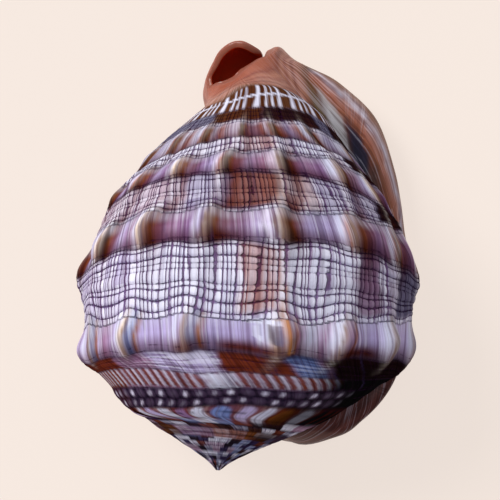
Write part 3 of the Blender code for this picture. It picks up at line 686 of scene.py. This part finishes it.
def hump(low, low_end, high, high_end, value):
    """Rises from low to low_end, stays 1, and falls from high to high_end."""
    return smooth_step(low, low_end, value) * (1 - smooth_step(high, high_end, value))


def patch(low, high, soft, value):
    """1 between low and high, with the same softness at both edges."""
    return hump(low - soft, low + soft, high - soft, high + soft, value)


def leaning(rows, share):
    """Share measured along the growth lines, which lean over near the spire."""
    return share + LEAN * np.clip(4.0 - rows, 0.0, 5.0)


def paint_knobs(paint, rows, share):
    """From each crest leftwards: pale crest, partly a painted highlight, coloured face, and brown hollow
    beside the next crest, partly painted shade.
    """
    chance = np.random.default_rng(11)
    crests = [np.interp(rows, *list(zip(*fold))[:2]) + FACE_OFFSET for fold in FOLDS]
    crests.sort(key=lambda places: places.mean())
    further = range(1, FURTHER_KNOBS + 1)
    ahead = [crests[0] - step * KNOB_SPACING for step in reversed(further)]
    behind = [crests[-1] + step * KNOB_SPACING for step in further]
    crests = ahead + crests + behind
    for first, faces, hollows in KNOB_TINTS:
        zone = patch(first, first + 1, ROW_SOFTNESS, rows)
        curve = 0.16 * (rows - first - 0.6) ** 2
        ridges = chance.choice(["cream", "lavender", "white", "salmon"], len(crests))
        for number, (right, left) in enumerate(zip(crests, crests[1:])):
            across = (share - right) / (left - right) + curve
            inside = ((share >= right) & (share < left)) * 1.0
            face, second = chance.choice(faces, 2)
            hollow = chance.choice(hollows)
            # The white next to each crest is partly a painted highlight; the hollow colours and the
            # brown beside the next crest are partly painted shade.
            stops = [(0.0, ridges[number]), (0.08, "white"), (0.2, face), (0.5, second), (0.7, face),
                     (0.78, "orange"), (0.83, hollow), (0.9, hollow), (0.96, "brown"),
                     (1.0, ridges[number + 1])]
            colours = colours_between([(place, COLOURS[name]) for place, name in stops], across)
            cover(paint, zone * inside, colours)


def paint_patches(paint, rows, share):
    """Pale patches ringed by brown in the band beside the spire."""
    tints = np.array([on_screen(COLOURS[name]) for name in PATCH_TINTS])
    count = (share + LEAN * (0.5 - rows)) * PATCH_COUNT + 0.12 * np.sin(rows * 3 + share * 40)
    number = np.floor(count).astype(int)
    picks = np.random.default_rng(4).integers(0, len(tints), PICKS)
    zone = patch(0.0, 1.0, ROW_SOFTNESS, rows)
    cover(paint, zone, tints[picks[number % PICKS]])
    away = np.hypot(count % 1.0 - 0.5, (rows - 0.5) * 0.9)
    blend_in(paint, zone * smooth_step(0.3, 0.46, away) * 0.85, "red_brown")


def paint_blocks(rows, share):
    """Ground colours of all bands and knobs, each lightened or darkened by its row, with painted shade
    on the right and lower right.
    """
    paint = np.zeros(rows.shape + (3,)) + on_screen(COLOURS["lavender"])
    wander = share + 0.004 * np.sin(rows * 5.0 + share * 25) + 0.002 * np.sin(rows * 13.0)
    for first, last, ground, patches in GROUNDS:
        band = patch(first, last, ROW_SOFTNESS, rows)
        lean = LEAN * ((first + last) / 2 - rows) if last <= 4.0 else 0.0
        blend_in(paint, band, ground)
        for low, high, colour in patches:
            blend_in(paint, band * patch(low, high, SHARE_SOFTNESS, wander + lean), colour)
    paint_knobs(paint, rows, share)
    paint_patches(paint, rows, share)
    for middle, low, high in KNOB_FEET:
        foot = patch(low, high, 0.018, share) * patch(middle, middle + 0.25, 0.15, rows)
        blend_in(paint, foot, "red_brown")
    places, tones = zip(*ROW_TONE)
    paint *= np.interp(rows, places, tones)[..., None]
    middle = hump(0.415, 0.43, 0.53, 0.56, share)
    darken(paint, middle * smooth_step(6.0, 7.2, rows), (0.12, 0.26, 0.28))
    # Painted shade: the band between the first two rows of knobs is darker on its right side, away from
    # the light.
    right = (1 - smooth_step(0.335, 0.35, share)) * dorsal_mask(share)
    darken(paint, patch(5.0, 6.0, SHARP_SOFTNESS, rows) * right, (0.3, 0.36, 0.3))
    # Painted shade over the lower right of the body, towards the spire.
    lower_right_shade = (1 - smooth_step(0.36, 0.43, share)) * (1 - smooth_step(3.6, 4.4, rows))
    darken(paint, lower_right_shade, 0.76)
    grey = brightness(paint)[..., None]
    paint = np.maximum((grey + (paint - grey) * SATURATION) * (0.66 + 0.85 * grey), DARKEST)
    return paint * np.minimum(1.0, LIGHTEST / paint.max(axis=-1, keepdims=True))


# Where growth paused: (share, width, strength).
GROWTH_STOPS = [(0.478, 0.0028, 0.5), (0.485, 0.0022, 0.45), (0.548, 0.0028, 0.5), (0.556, 0.0026, 0.5),
                (0.563, 0.002, 0.35), (0.388, 0.0028, 0.45), (0.396, 0.002, 0.4), (0.628, 0.0026, 0.35),
                (0.662, 0.0022, 0.4), (0.705, 0.0026, 0.35), (0.333, 0.003, 0.45), (0.742, 0.0026, 0.35)]

# How light each row is beside its colours: (row, factor).
ROW_TONE = [(-3.0, 0.7), (-0.1, 0.8), (0.0, 0.5), (0.12, 1.15), (0.85, 1.15), (1.0, 0.2),
            (1.1, 0.18), (1.9, 0.18), (2.0, 0.25), (2.12, 0.75), (2.9, 0.8), (3.0, 0.5),
            (3.15, 0.95), (3.75, 0.95), (3.97, 0.42), (4.2, 0.78), (4.5, 1.08), (4.8, 1.06),
            (4.95, 0.9), (5.05, 1.0), (5.9, 0.95), (6.03, 0.5), (6.2, 0.7), (6.5, 1.0),
            (6.75, 0.95), (6.92, 0.75), (7.02, 0.6), (7.15, 0.68), (7.85, 0.66), (8.02, 0.42),
            (8.2, 0.68), (8.5, 0.98), (8.72, 0.92), (8.9, 0.7), (9.0, 0.6), (9.15, 0.72),
            (9.85, 0.72), (10.02, 0.4), (10.2, 0.66), (10.85, 0.7), (11.0, 0.5), (11.15, 0.74),
            (11.9, 0.7), (12.5, 0.72)]


def shade_folds(paint, rows, crest, valley):
    """Painted shade, darker and browner, beside the folds, a painted highlight on their crests, painted
    shade at each knob's foot and a painted highlight near its head.
    """
    # Painted shade in the valley beside each fold, and a painted highlight on its crest.
    valley = valley * smooth_step(5.0, 6.4, rows)
    darken(paint, valley, (0.5, 0.66, 0.7))
    blend_in(paint, valley * 0.25, "red_brown")
    blend_in(paint, crest * 0.3, "cream")
    for row, _, _ in KNOB_TINTS:
        # Painted shade at the foot of each row of knobs and a painted highlight near its head.
        foot = hump(row - 0.1, row + 0.05, row + 0.1, row + 0.5, rows)
        head = hump(row + 0.55, row + 0.8, row + 0.9, row + 1.0, rows)
        darken(paint, foot, (0.28, 0.42, 0.40))
        blend_in(paint, head * 0.22, "white")


def growth_stops(paint, rows, share):
    """Dark purple lines where the shell stopped growing for a while."""
    for place, width, strength in GROWTH_STOPS:
        wander = place + 0.0015 * np.sin(rows * 1.9 + place * 50)
        wander += 0.0008 * np.sin(rows * 9 + place * 90)
        line = 1 - smooth_step(width * 0.4, width, np.abs(leaning(rows, share) - wander))
        fade = 0.7 + 0.3 * np.sin(rows * 4.1 + place * 200)
        zone = patch(2.1, 10.9, SHARP_SOFTNESS, rows)
        blend_in(paint, line * fade * strength * zone, "night")


def paint_spots(paint, rows, share):
    """Two rows of pale leaning spots on the dark band beside the spire."""
    for low, phase in ((1.0, 0.1), (1.5, 0.55)):
        t = (rows - low) / 0.5
        count = leaning(rows, share) * SPOT_COUNT + phase
        across = count % 1.0 - 0.5
        size = np.clip(0.5 + 0.6 * np.sin(np.floor(count) * 2.4 + low * 9), 0.05, 1.0)
        spot = 1 - smooth_step(0.08, 0.30, np.hypot(across, (t - 0.5) * 0.85 + across * 0.5))
        halo = 1 - smooth_step(0.25, 0.5, np.hypot(across * 0.8, (t - 0.5) * 0.8))
        seen = smooth_step(0.28, 0.36, share) * dorsal_mask(share)
        blend_in(paint, halo * 0.22 * seen, "violet")
        blend_in(paint, spot * size * seen, "spot")


# Healed cracks, a chipped spot and the golden edge on the shoulder knob at the middle, each one as
# (row, share) points, width in mm, strength and colour. A row there is about ROW_WIDTH mm wide.
SCAR = [([(4.12, 0.4445), (4.6, 0.4475), (5.0, 0.449), (5.35, 0.447)], 1.0, 0.85, "gold"),
        ([(4.62, 0.4585), (4.42, 0.4575)], 1.7, 0.8, "dusk"),
        ([(4.84, 0.468), (4.6, 0.4655), (4.35, 0.4635)], 0.7, 0.7, "dark"),
        ([(4.86, 0.496), (4.84, 0.480), (4.8, 0.470), (4.74, 0.455)], 0.8, 0.9, "white"),
        ([(4.7, 0.4855), (4.5, 0.486), (4.42, 0.480)], 0.8, 0.6, "white")]
ROW_WIDTH = 11


def near_line(rows, share, points, width):
    """1 on a line through the points, 0 further from it than its width."""
    nearest = np.full(rows.shape, np.inf)
    for (r0, s0), (r1, s1) in zip(points, points[1:]):
        across, along = (share - s0) * BACK_LENGTH, (rows - r0) * ROW_WIDTH
        dx, dy = (s1 - s0) * BACK_LENGTH, (r1 - r0) * ROW_WIDTH
        t = np.clip((across * dx + along * dy) / (dx * dx + dy * dy), 0, 1)
        nearest = np.minimum(nearest, np.hypot(across - dx * t, along - dy * t))
    return 1 - smooth_step(width * 0.5, width, nearest)


def paint_scar(paint, rows, share):
    for points, width, strength, colour in SCAR:
        blend_in(paint, near_line(rows, share, points, width) * strength, colour)


def slanted_strokes(paint, rows, share):
    """Brown gaps between the short leaning strokes of the third row."""
    place = leaning(rows, share) * STROKE_COUNT % 1.0
    stroke = 1 - smooth_step(0.12, 0.34, np.abs(place - 0.5))
    zone = hump(2.05, 2.2, 2.9, 3.05, rows)
    zone *= smooth_step(0.34, 0.42, share) * dorsal_mask(share)
    dim = 1 - smooth_step(0.10, 0.30, brightness(paint))
    blend_in(paint, stroke * zone * (0.12 + 0.5 * dim), "white")
    blend_in(paint, (1 - stroke) * zone * (0.85 * dim + 0.25), "red_brown")


def spire_dashes(paint, rows, share):
    """Short dark and pale dashes in thin rows around the spire."""
    shades = np.array([on_screen(COLOURS[name]) for name in DASH_COLOURS])
    picks = np.random.default_rng(3).integers(0, len(shades), (PICKS, PICKS))
    along = np.floor(rows * DASH_ROWS).astype(int)
    across = np.floor(leaning(rows, share) * DASH_COUNT + along * 0.37).astype(int)
    smooth_band = hump(-0.95, -0.8, -0.35, -0.2, rows)
    strength = 0.88 * (1 - smooth_step(0.1, 0.4, rows)) * (1 - 0.85 * smooth_band)
    cover(paint, strength, shades[picks[along % PICKS, across % PICKS]])
    edge = 1 - smooth_step(0.0, 0.35, rows * DASH_ROWS % 1.0)
    darken(paint, edge * (1 - smooth_step(0.7, 0.95, rows)), 0.6)


def colours_between(stops, value):
    """Colours blended between the stops of a list."""
    places = [stop[0] for stop in stops]
    shades = np.array([on_screen(stop[1]) for stop in stops])
    return np.stack([np.interp(value, places, shades[:, k]) for k in range(3)], axis=-1)


# Patches in the groove beside the lip: (first row, last row, colour, strength).
GROOVE_PATCHES = [(12.0, 13.3, "ash", 0.8), (10.3, 11.7, "ink_blue", 0.9),
                  (13.5, 14.2, "olive", 0.6), (8.8, 10.0, "dark", 0.5)]


def paint_smooth_parts(paint, rows, share):
    """Streaked lip, shield and canal end."""
    waver = 0.0022 * np.sin(rows * 1.1) + 0.0015 * np.sin(rows * 3.3 + 1)
    wavering = share + (waver + 0.001 * np.sin(rows * 8.0))
    lip = mix(colours_between(LOWER_LIP, wavering), colours_between(UPPER_LIP, wavering),
              smooth_step(4.2, 6.2, rows)[..., None])
    cover(paint, 1 - smooth_step(-0.012, 0.006, share), lip)
    groove = smooth_step(-0.036, -0.03, wavering) * (1 - smooth_step(0.006, 0.02, share))
    leant = rows + share * 22 + 0.5
    for first, last, colour, strength in GROOVE_PATCHES:
        blend_in(paint, groove * patch(first, last, 0.25, leant) * strength, colour)
    blend_in(paint, on_shield(share), "callus")
    lean = rows + 0.25 * np.sin(share * 9.0) + 0.1 * np.sin(share * 31.0)
    cover(paint, smooth_step(13.75, 14.1, rows), colours_between(CANAL_BANDS, lean))


def cord_numbers(rows):
    """Count of cords up to each row, whole at each cord's edge."""
    starts = np.array([cord[0] for cord in CORDS] + [CORDS[-1][1]])
    return np.interp(rows, starts, np.arange(len(starts)))


def per_cord(rows, values):
    """A value for each cord."""
    number = np.clip(cord_numbers(rows), 0, len(CORDS) - 1e-6)
    return np.asarray(values, float)[number.astype(int)]


class Value:
    """A socket whose arithmetic adds Math nodes to its material."""

    def __init__(self, finish, socket):
        self.finish, self.socket = finish, socket

    def maths(self, operation, *others):
        inputs = {0: self}
        inputs.update({k + 1: other for k, other in enumerate(others)})
        return self.finish.node("ShaderNodeMath", {"operation": operation}, inputs)

    def __add__(self, other):
        return self.maths("ADD", other)

    def __radd__(self, other):
        return self.maths("ADD", other)

    def __sub__(self, other):
        return self.maths("SUBTRACT", other)

    def __rsub__(self, other):
        return self.finish.node("ShaderNodeMath", {"operation": "SUBTRACT"}, {0: other, 1: self})

    def __mul__(self, other):
        return self.maths("MULTIPLY", other)

    def fraction(self):
        return self.maths("FRACT")

    def floor(self):
        return self.maths("FLOOR")

    def off_centre(self):
        """0 in the middle of each whole step, 1 at its edges."""
        return (self.fraction() - 0.5).maths("ABSOLUTE") * 2

    def cubed(self):
        return self * self * self

    def between(self, low, high):
        """0 below low, 1 above high, smooth between."""
        return self.finish.node("ShaderNodeMapRange", {"interpolation_type": "SMOOTHSTEP"},
                                {"Value": self, "From Min": low, "From Max": high})


class Finish:
    """A material whose nodes all come from one method."""

    def __init__(self, name):
        self.material = bpy.data.materials.new(name)
        self.material.use_nodes = True
        self.tree = self.material.node_tree
        self.surface = self.tree.nodes["Principled BSDF"]

    def node(self, kind, settings, inputs, output=0):
        node = self.tree.nodes.new(kind)
        for key, value in settings.items():
            setattr(node, key, value)
        for key, value in inputs.items():
            if isinstance(value, Value):
                self.tree.links.new(value.socket, node.inputs[key])
            else:
                node.inputs[key].default_value = value
        return Value(self, node.outputs[output])

    def attribute(self, name, output=2):
        return self.node("ShaderNodeAttribute", {"attribute_name": name}, {}, output)

    def colour_mix(self, share, first, second, blend="MIX"):
        return self.node("ShaderNodeMix", {"data_type": "RGBA", "blend_type": blend},
                         {0: share, 6: first, 7: second}, 2)

    def spot(self, across, along):
        """A place on the shell's unrolled surface."""
        return self.node("ShaderNodeCombineXYZ", {}, {"X": across, "Y": along, "Z": 0.0})

    def clouds(self, across, along, detail=1.0):
        """Soft noise, 0 to 1, over the unrolled surface."""
        return self.node("ShaderNodeTexNoise", {"noise_dimensions": "2D"},
                         {"Vector": self.spot(across, along), "Scale": 1.0, "Detail": detail})

    def chance(self, across, along):
        """One random number for each place on the unrolled surface."""
        return self.node("ShaderNodeTexWhiteNoise", {"noise_dimensions": "2D"},
                         {"Vector": self.spot(across, along)})

    def feed(self, name, value):
        if isinstance(value, Value):
            self.tree.links.new(value.socket, self.surface.inputs[name])
        else:
            self.surface.inputs[name].default_value = value


# Colours laid over the paint in the shell's finish, as they look on screen.
PALE, INK, PURPLE = (240, 238, 254), (50, 18, 50), (112, 80, 138)
VIOLET, PLUM = (138, 92, 150), (104, 52, 84)
# Fine growth lines for each column of beads.
HAIRS = 3.3


def shell_finish():
    """Growth lines along the shell, grooves around it, and pale beads in the cells between them, with
    painted shade on one side of each bead and along its lower edge.

    Whole numbers added inside clouds and chance only move a pattern, so that no two are alike.
    """
    finish = Finish("shell_lime")
    place = finish.node("ShaderNodeTexCoord", {}, {}, 3)
    paint = finish.attribute("paint", 0)
    rib, cord, width, lines, gaps, beads, gloss, snow, spiral = (
        finish.attribute(name) for name in ("rib", "cord", "cord_width", "lines", "gaps", "beads",
                                            "gloss", "snow", "spiral"))
    pale, ink, purple, violet, plum = ((*on_screen(colour), 1.0)
                                       for colour in (PALE, INK, PURPLE, VIOLET, PLUM))
    fine = finish.node("ShaderNodeTexNoise", {}, {"Vector": place, "Scale": 900.0, "Detail": 3.0})

    # Columns of beads: the growth lines bend a little, and each column has its own darkness.
    sway = finish.clouds(rib * 0.37, cord * 0.025, 2.0)
    drift = finish.clouds(rib * 0.16, cord * 0.14 + 40.0)
    bent = rib + (sway - 0.5) * 3.4 + (drift - 0.5) * 1.0 + (fine - 0.5) * 0.12
    column = bent.floor()
    across = bent.off_centre()
    column_chance = finish.chance(column, (cord * 0.3).floor())
    dark_line = (across - column_chance * 0.14).between(0.66, 0.86) * (1.0 - column_chance * 0.6)
    hairs = bent * HAIRS
    hair_chance = finish.chance(hairs.floor(), (cord * 0.25).floor() + 60.0)
    hair_line = hairs.off_centre().between(0.45, 0.85) * hair_chance.between(0.35, 1.0)

    # Dashes in the grooves between the cords, and the rounded bead in each cell, with painted shade
    # across it.
    round_cord = (cord + (fine - 0.5) * 0.08).off_centre()
    edge_gap = (1 - round_cord) * width * 0.5
    dash_chance = finish.chance((bent + 0.5).floor(), (cord + 0.5).floor() + 90.0)
    dash = dash_chance.between(0.3, 0.7) * (0.3 + across.between(0.1, 0.8) * 0.7)
    groove = (1 - edge_gap.between(0.06, 0.3)) * (dash * 0.85 + 0.08)
    rounding = across.cubed() + round_cord.cubed() * (gaps * 0.8 + 0.2)
    crown = (1 - rounding.between(0.42, 0.95)) * beads
    cell_chance = finish.chance(column, cord.floor() + 200.0)
    # Painted shade across each bead, darkest on its side towards the shield.
    shade = bent.fraction().between(0.3, 1.0) * (0.25 + column_chance * 0.6)
    column_tone = finish.chance(column + 7.0, (cord * 0.22).floor() + 30.0)
    whiteness = (0.55 + cell_chance * 0.45) * column_tone.between(-0.4, 0.7) * (1 - shade * 0.8)

    # Streaks along the growth lines, and threads along the cords.
    dark_streak = finish.clouds(rib * 1.3, cord * 0.08 + 10.0, 2.0)
    light_streak = finish.clouds(rib * 1.9, cord * 0.07 + 25.0, 3.0)
    smooth_streak = finish.clouds(rib * 2.6, cord * 0.22 + 70.0, 3.0)
    thread = finish.clouds(rib * 0.07, cord * 3.2 + 150.0, 3.0)

    matt = 1 - gloss
    knobby = (1 - beads) * matt
    # Painted shade along the lower edge of each cord, towards the spire.
    under = 1 - cord.fraction().between(0.0, 0.5)
    halo = across.between(0.45, 0.9) * (0.6 - column_chance * 0.4) * lines * snow
    hairiness = (lines * 0.25 + 0.15) * (snow * 0.85 + 0.15) * matt
    tint = finish.colour_mix(0.75, paint, plum, "MULTIPLY")
    # The dark purple ground between the beads is partly the shell's own colour and partly painted shade.
    ground = finish.colour_mix(0.8, paint, purple, "MULTIPLY")
    colour = paint
    for share, layer in (
            (dark_streak.between(0.46, 0.7) * 0.7 * matt, tint),
            (smooth_streak.between(0.44, 0.62) * gloss * 0.6, tint),
            ((1 - smooth_streak.between(0.34, 0.46)) * gloss * 0.16, pale),
            (thread.between(0.5, 0.62) * spiral * 0.6, tint),
            ((1 - thread.between(0.4, 0.5)) * spiral * snow * 0.75, pale),
            (beads * (1 - crown) * 0.9, ground),
            (light_streak.between(0.5, 0.68) * knobby * snow * 0.34, pale),
            (crown * whiteness * snow, pale),
            # Painted shade on each bead's side towards the shield.
            (shade * beads * 0.6, tint),
            # Painted shade along the lower edge of each beaded cord.
            (under * beads * gaps * 0.6, ground),
            (halo, violet),
            (hair_line * hairiness, plum),
            (dark_line * lines * (1 - beads * 0.5), ink),
            (groove * gaps * (1 - beads * 0.15), ink)):
        colour = finish.colour_mix(share, colour, layer)
    height = crown * 1.2 - dark_line * lines * 0.3 - groove * gaps * 0.6 + fine * 0.12
    bump = finish.node("ShaderNodeBump", {}, {"Strength": 0.8, "Distance": 0.0008, "Height": height})
    for name, value in (("Base Color", colour), ("Roughness", 0.46 - gloss * 0.12 - knobby * 0.1),
                        ("Specular IOR Level", 0.0),
                        ("Coat Weight", gloss * 0.4 + knobby * snow * 0.14),
                        ("Coat Roughness", 0.22), ("Normal", bump)):
        finish.feed(name, value)
    return finish.material


def give(sheet, name, values):
    """A number for every point of a sheet."""
    layer = sheet.data.attributes.new(name, "FLOAT", "POINT")
    layer.data.foreach_set("value", np.asarray(values, np.float32).ravel())


def select_points(sheet, indices):
    bpy.ops.object.mode_set(mode="OBJECT")
    chosen = np.zeros(len(sheet.data.vertices), bool)
    chosen[indices] = True
    sheet.data.vertices.foreach_set("select", chosen)
    sheet.data.edges.foreach_set("select", np.zeros(len(sheet.data.edges), bool))
    sheet.data.polygons.foreach_set("select", np.zeros(len(sheet.data.polygons), bool))
    bpy.ops.object.mode_set(mode="EDIT")
    bpy.ops.mesh.select_mode(type="VERT")


# The canal's rim rolls inwards in these steps: (share of the way, how far ahead in mm).
RIM_STEPS = [(0.3, 0.35), (0.65, 0.4), (0.92, 0.15)]
# The inside stops this far in mm from the outside's edge.
SEAM_GAP = 0.35


def close_seam(points, slit_row):
    """Both side edges of a sheet meet on the underside behind the slit."""
    points[:slit_row + 1, -1] = points[:slit_row + 1, 0]


def shape_outside(form):
    """Sculpted outside sheet, with the canal's rim rolled over its edge."""
    outside = form.outside
    normals = surface_normals(outside)
    form.rows = swell_rows(row_numbers(form.share, form.along), form.share)
    fold_height, form.crest, form.valley = folds(form.rows, form.share)
    relief = (cord_relief(form.rows) + fold_height) * dorsal_mask(form.share)
    relief *= smooth_step(14.6, 13.9, form.rows)
    outside = outside + normals * relief[..., None]
    close_seam(outside, form.slit_row)
    outside[..., 2] = np.maximum(outside[..., 2], 0.0)
    ahead = outside[-1] - outside[-5]
    ahead = ahead / np.linalg.norm(ahead, axis=-1, keepdims=True)
    rim = [mix(outside[-1], form.inside_rim, share) + ahead * lift for share, lift in RIM_STEPS]
    return np.concatenate([outside, np.array(rim)]) - form.middle


def shape_inside(form, outside):
    """Inside sheet, whose edges stop just short of the outside's."""
    inside = form.inside - form.middle
    first = form.inner_slit_row
    slit = outside[form.slit_row:-len(RIM_STEPS)]
    for edge, near in ((0, 1), (-1, -2)):
        inside[first:, edge] = slit[::FINE, edge]
        step = inside[first:, near] - inside[first:, edge]
        step /= np.maximum(np.linalg.norm(step, axis=-1, keepdims=True), 1e-6)
        inside[first:, edge] += step * SEAM_GAP
    for row in range(1, first):
        inside[row, 0] = mix(inside[0, 0], inside[first, 0], row / first)
    close_seam(inside, first)
    return inside


def end_ribs(rows, share):
    """Pale ribs that fan out along the shell at its canal end."""
    place = (share * 36 + 0.3 * np.sin(share * 61) + 0.1 * np.sin(rows * 1.7 + share * 9)) % 1.0
    width = 0.05 + 0.05 * smooth_step(12.9, 12.2, rows)
    rib = 1 - smooth_step(width, width + 0.18, np.abs(place - 0.5))
    return rib * hump(11.9, 12.2, 13.7, 14.2, rows) * dorsal_mask(share)


# Bands streaked along the cords: (first row, last row, strength).
SPIRAL_BANDS = [(3.0, 4.0, 1.0), (-0.95, -0.1, 0.7), (11.0, 12.0, 0.4)]


def surface_marks(form, outside):
    """Colour and pattern numbers for every point of the outside."""
    rows, share = form.rows, form.share
    paint = paint_blocks(rows, share)
    shade_folds(paint, rows, form.crest, form.valley)
    blend_in(paint, end_ribs(rows, share) * 0.95, "white")
    middle = 1 - smooth_step(0.03, 0.11, np.abs(rows - 12.98))
    blend_in(paint, middle * dorsal_mask(share), "white")
    growth_stops(paint, rows, share)
    paint_scar(paint, rows, share)
    slanted_strokes(paint, rows, share)
    paint_spots(paint, rows, share)
    spire_dashes(paint, rows, share)
    paint_smooth_parts(paint, rows, share)
    mask = dorsal_mask(share) * (1 - smooth_step(13.9, 14.3, rows))
    number = cord_numbers(rows)
    step = np.linalg.norm(np.gradient(outside[:len(rows)], axis=0), axis=-1)
    width = step / np.maximum(np.abs(np.gradient(number, axis=0)), 1e-4)
    beaded = per_cord(rows, [1.0 if cord[3] else 0.0 for cord in CORDS])
    line = per_cord(rows, [LINE_STRENGTH[math.floor(cord[0])] for cord in CORDS])
    gap = per_cord(rows, [GAP_STRENGTH.get(cord[0], 0.45 if cord[3] else 0.5) for cord in CORDS])
    before_canal = 1 - smooth_step(11.9, 12.1, rows)
    snow = smooth_step(0.05, 0.36, brightness(paint)) * (1 - 0.25 * smooth_step(6.8, 7.1, rows))
    spiral = np.zeros_like(rows)
    for first, last, strength in SPIRAL_BANDS:
        spiral += strength * patch(first, last, SHARP_SOFTNESS, rows)
    return paint, {"rib": leaning(rows, share) * BACK_LENGTH / RIB_SPACING, "cord": number,
                   "cord_width": np.clip(width, 0.2, 14.0), "lines": line * mask,
                   "gaps": gap * before_canal * mask, "beads": beaded * mask * before_canal,
                   "snow": snow * (0.6 + 0.4 * smooth_step(3.9, 4.1, rows)),
                   "spiral": spiral, "gloss": 1 - mask}


def give_colour(sheet, name, colours):
    layer = sheet.data.attributes.new(name, "FLOAT_COLOR", "POINT")
    full = np.ones(colours.shape[:-1] + (4,), np.float32)
    full[..., :3] = colours
    layer.data.foreach_set("color", full.ravel())


# Pattern numbers of the smooth rim and the inside, where they aren't 0.
PLAIN_MARKS = {"gloss": 1.0, "cord_width": 1.0}


def build_shell():
    """The outside and the inside, joined along the slit and round the canal's mouth."""
    form = Form()
    outside = shape_outside(form)
    inside = shape_inside(form, outside)
    columns, count = outside.shape[1], outside.shape[0] * outside.shape[1]
    shell = make_sheet("helmet_shell", outside)
    paint, marks = surface_marks(form, outside)
    rim = np.zeros((len(RIM_STEPS), columns, 3)) + on_screen(COLOURS["rim"])
    give_colour(shell, "paint", np.concatenate([paint, rim]))
    bpy.ops.object.select_all(action="DESELECT")
    lining = make_sheet("lining", inside)
    give_colour(lining, "paint", np.zeros_like(inside) + on_screen(COLOURS["canal"]))
    for name, values in marks.items():
        fill = PLAIN_MARKS.get(name, 0.0)
        give(shell, name, np.concatenate([values, np.full((len(RIM_STEPS), columns), fill)]))
        give(lining, name, np.full(inside.shape[:2], fill))
    bpy.ops.object.select_all(action="DESELECT")
    lining.select_set(True)
    shell.select_set(True)
    bpy.context.view_layer.objects.active = shell
    bpy.ops.object.join()
    select_points(shell, np.arange(columns))
    bpy.ops.mesh.edge_face_add()
    select_points(shell, count + np.arange(inside.shape[1]))
    bpy.ops.mesh.edge_face_add()
    bpy.ops.mesh.select_all(action="SELECT")
    bpy.ops.mesh.remove_doubles(threshold=MERGE_DISTANCE)
    bpy.ops.mesh.dissolve_degenerate(threshold=SHORTEST_EDGE)
    bpy.ops.mesh.select_all(action="DESELECT")
    bpy.ops.mesh.select_non_manifold(extend=False, use_wire=False, use_boundary=True,
                                     use_multi_face=False, use_non_contiguous=False,
                                     use_verts=False)
    bpy.ops.mesh.bridge_edge_loops()
    bpy.ops.mesh.select_all(action="SELECT")
    bpy.ops.mesh.normals_make_consistent(inside=False)
    bpy.ops.object.mode_set(mode="OBJECT")
    bpy.ops.object.shade_smooth()
    return shell


def plain_material(name, colour, roughness):
    material = bpy.data.materials.new(name)
    material.use_nodes = True
    finish = material.node_tree.nodes["Principled BSDF"]
    finish.inputs["Base Color"].default_value = (*colour, 1.0)
    finish.inputs["Roughness"].default_value = roughness
    return material


# The floor lies this far below the shell. The camera looks straight down. All places in metres.
FLOOR_SIZE, FLOOR_DROP = 4, 0.0002
CAMERA_PLACE, LENS, NEAREST_SEEN = (0.00061, 0.00093, 0.740), 144.4, 0.01
# Name, place it shines from, angle in radians, strength and colour.
SUNS = [("window", (-0.55, 0.45, 0.62), 0.45, 2.75, (1.0, 0.99, 0.97)),
        ("overhead", (0.1, 0.3, 1.0), 0.9, 0.45, (0.9, 0.94, 1.0))]


def set_the_scene():
    """Pale floor that glows a little, camera, two suns and the light of the room."""
    scene = bpy.context.scene
    scene.view_settings.view_transform = "Standard"
    bpy.ops.mesh.primitive_plane_add(size=FLOOR_SIZE, location=(0, 0, -FLOOR_DROP))
    floor = bpy.context.object
    floor.name = "pale_floor"
    paper = plain_material("pale_paper", (0.16, 0.14, 0.127), 0.95)
    glow = paper.node_tree.nodes["Principled BSDF"]
    glow.inputs["Specular IOR Level"].default_value = 0.0
    glow.inputs["Emission Color"].default_value = (0.775, 0.685, 0.625, 1.0)
    glow.inputs["Emission Strength"].default_value = 1.0
    floor.data.materials.append(paper)
    camera = bpy.data.objects.new("camera", bpy.data.cameras.new("camera"))
    scene.collection.objects.link(camera)
    camera.location = CAMERA_PLACE
    camera.data.lens = LENS
    camera.data.clip_start = NEAREST_SEEN
    scene.camera = camera
    for name, place, softness, strength, colour in SUNS:
        light = bpy.data.objects.new(name, bpy.data.lights.new(name, "SUN"))
        light.data.angle = softness
        light.data.energy = strength
        light.data.color = colour
        light.location = place
        x, y, z = place
        light.rotation_euler = (math.atan2(math.hypot(x, y), z), 0,
                                math.atan2(-y, -x) - math.pi / 2)
        scene.collection.objects.link(light)
    world = bpy.data.worlds.new("room")
    world.use_nodes = True
    background = world.node_tree.nodes["Background"]
    background.inputs["Color"].default_value = (0.86, 0.9, 1.0, 1)
    background.inputs["Strength"].default_value = 0.3
    scene.world = world


bpy.ops.object.select_all(action="DESELECT")
shell = build_shell()
shell.data.materials.append(shell_finish())
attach(shell, "root")
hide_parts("shell")
set_the_scene()
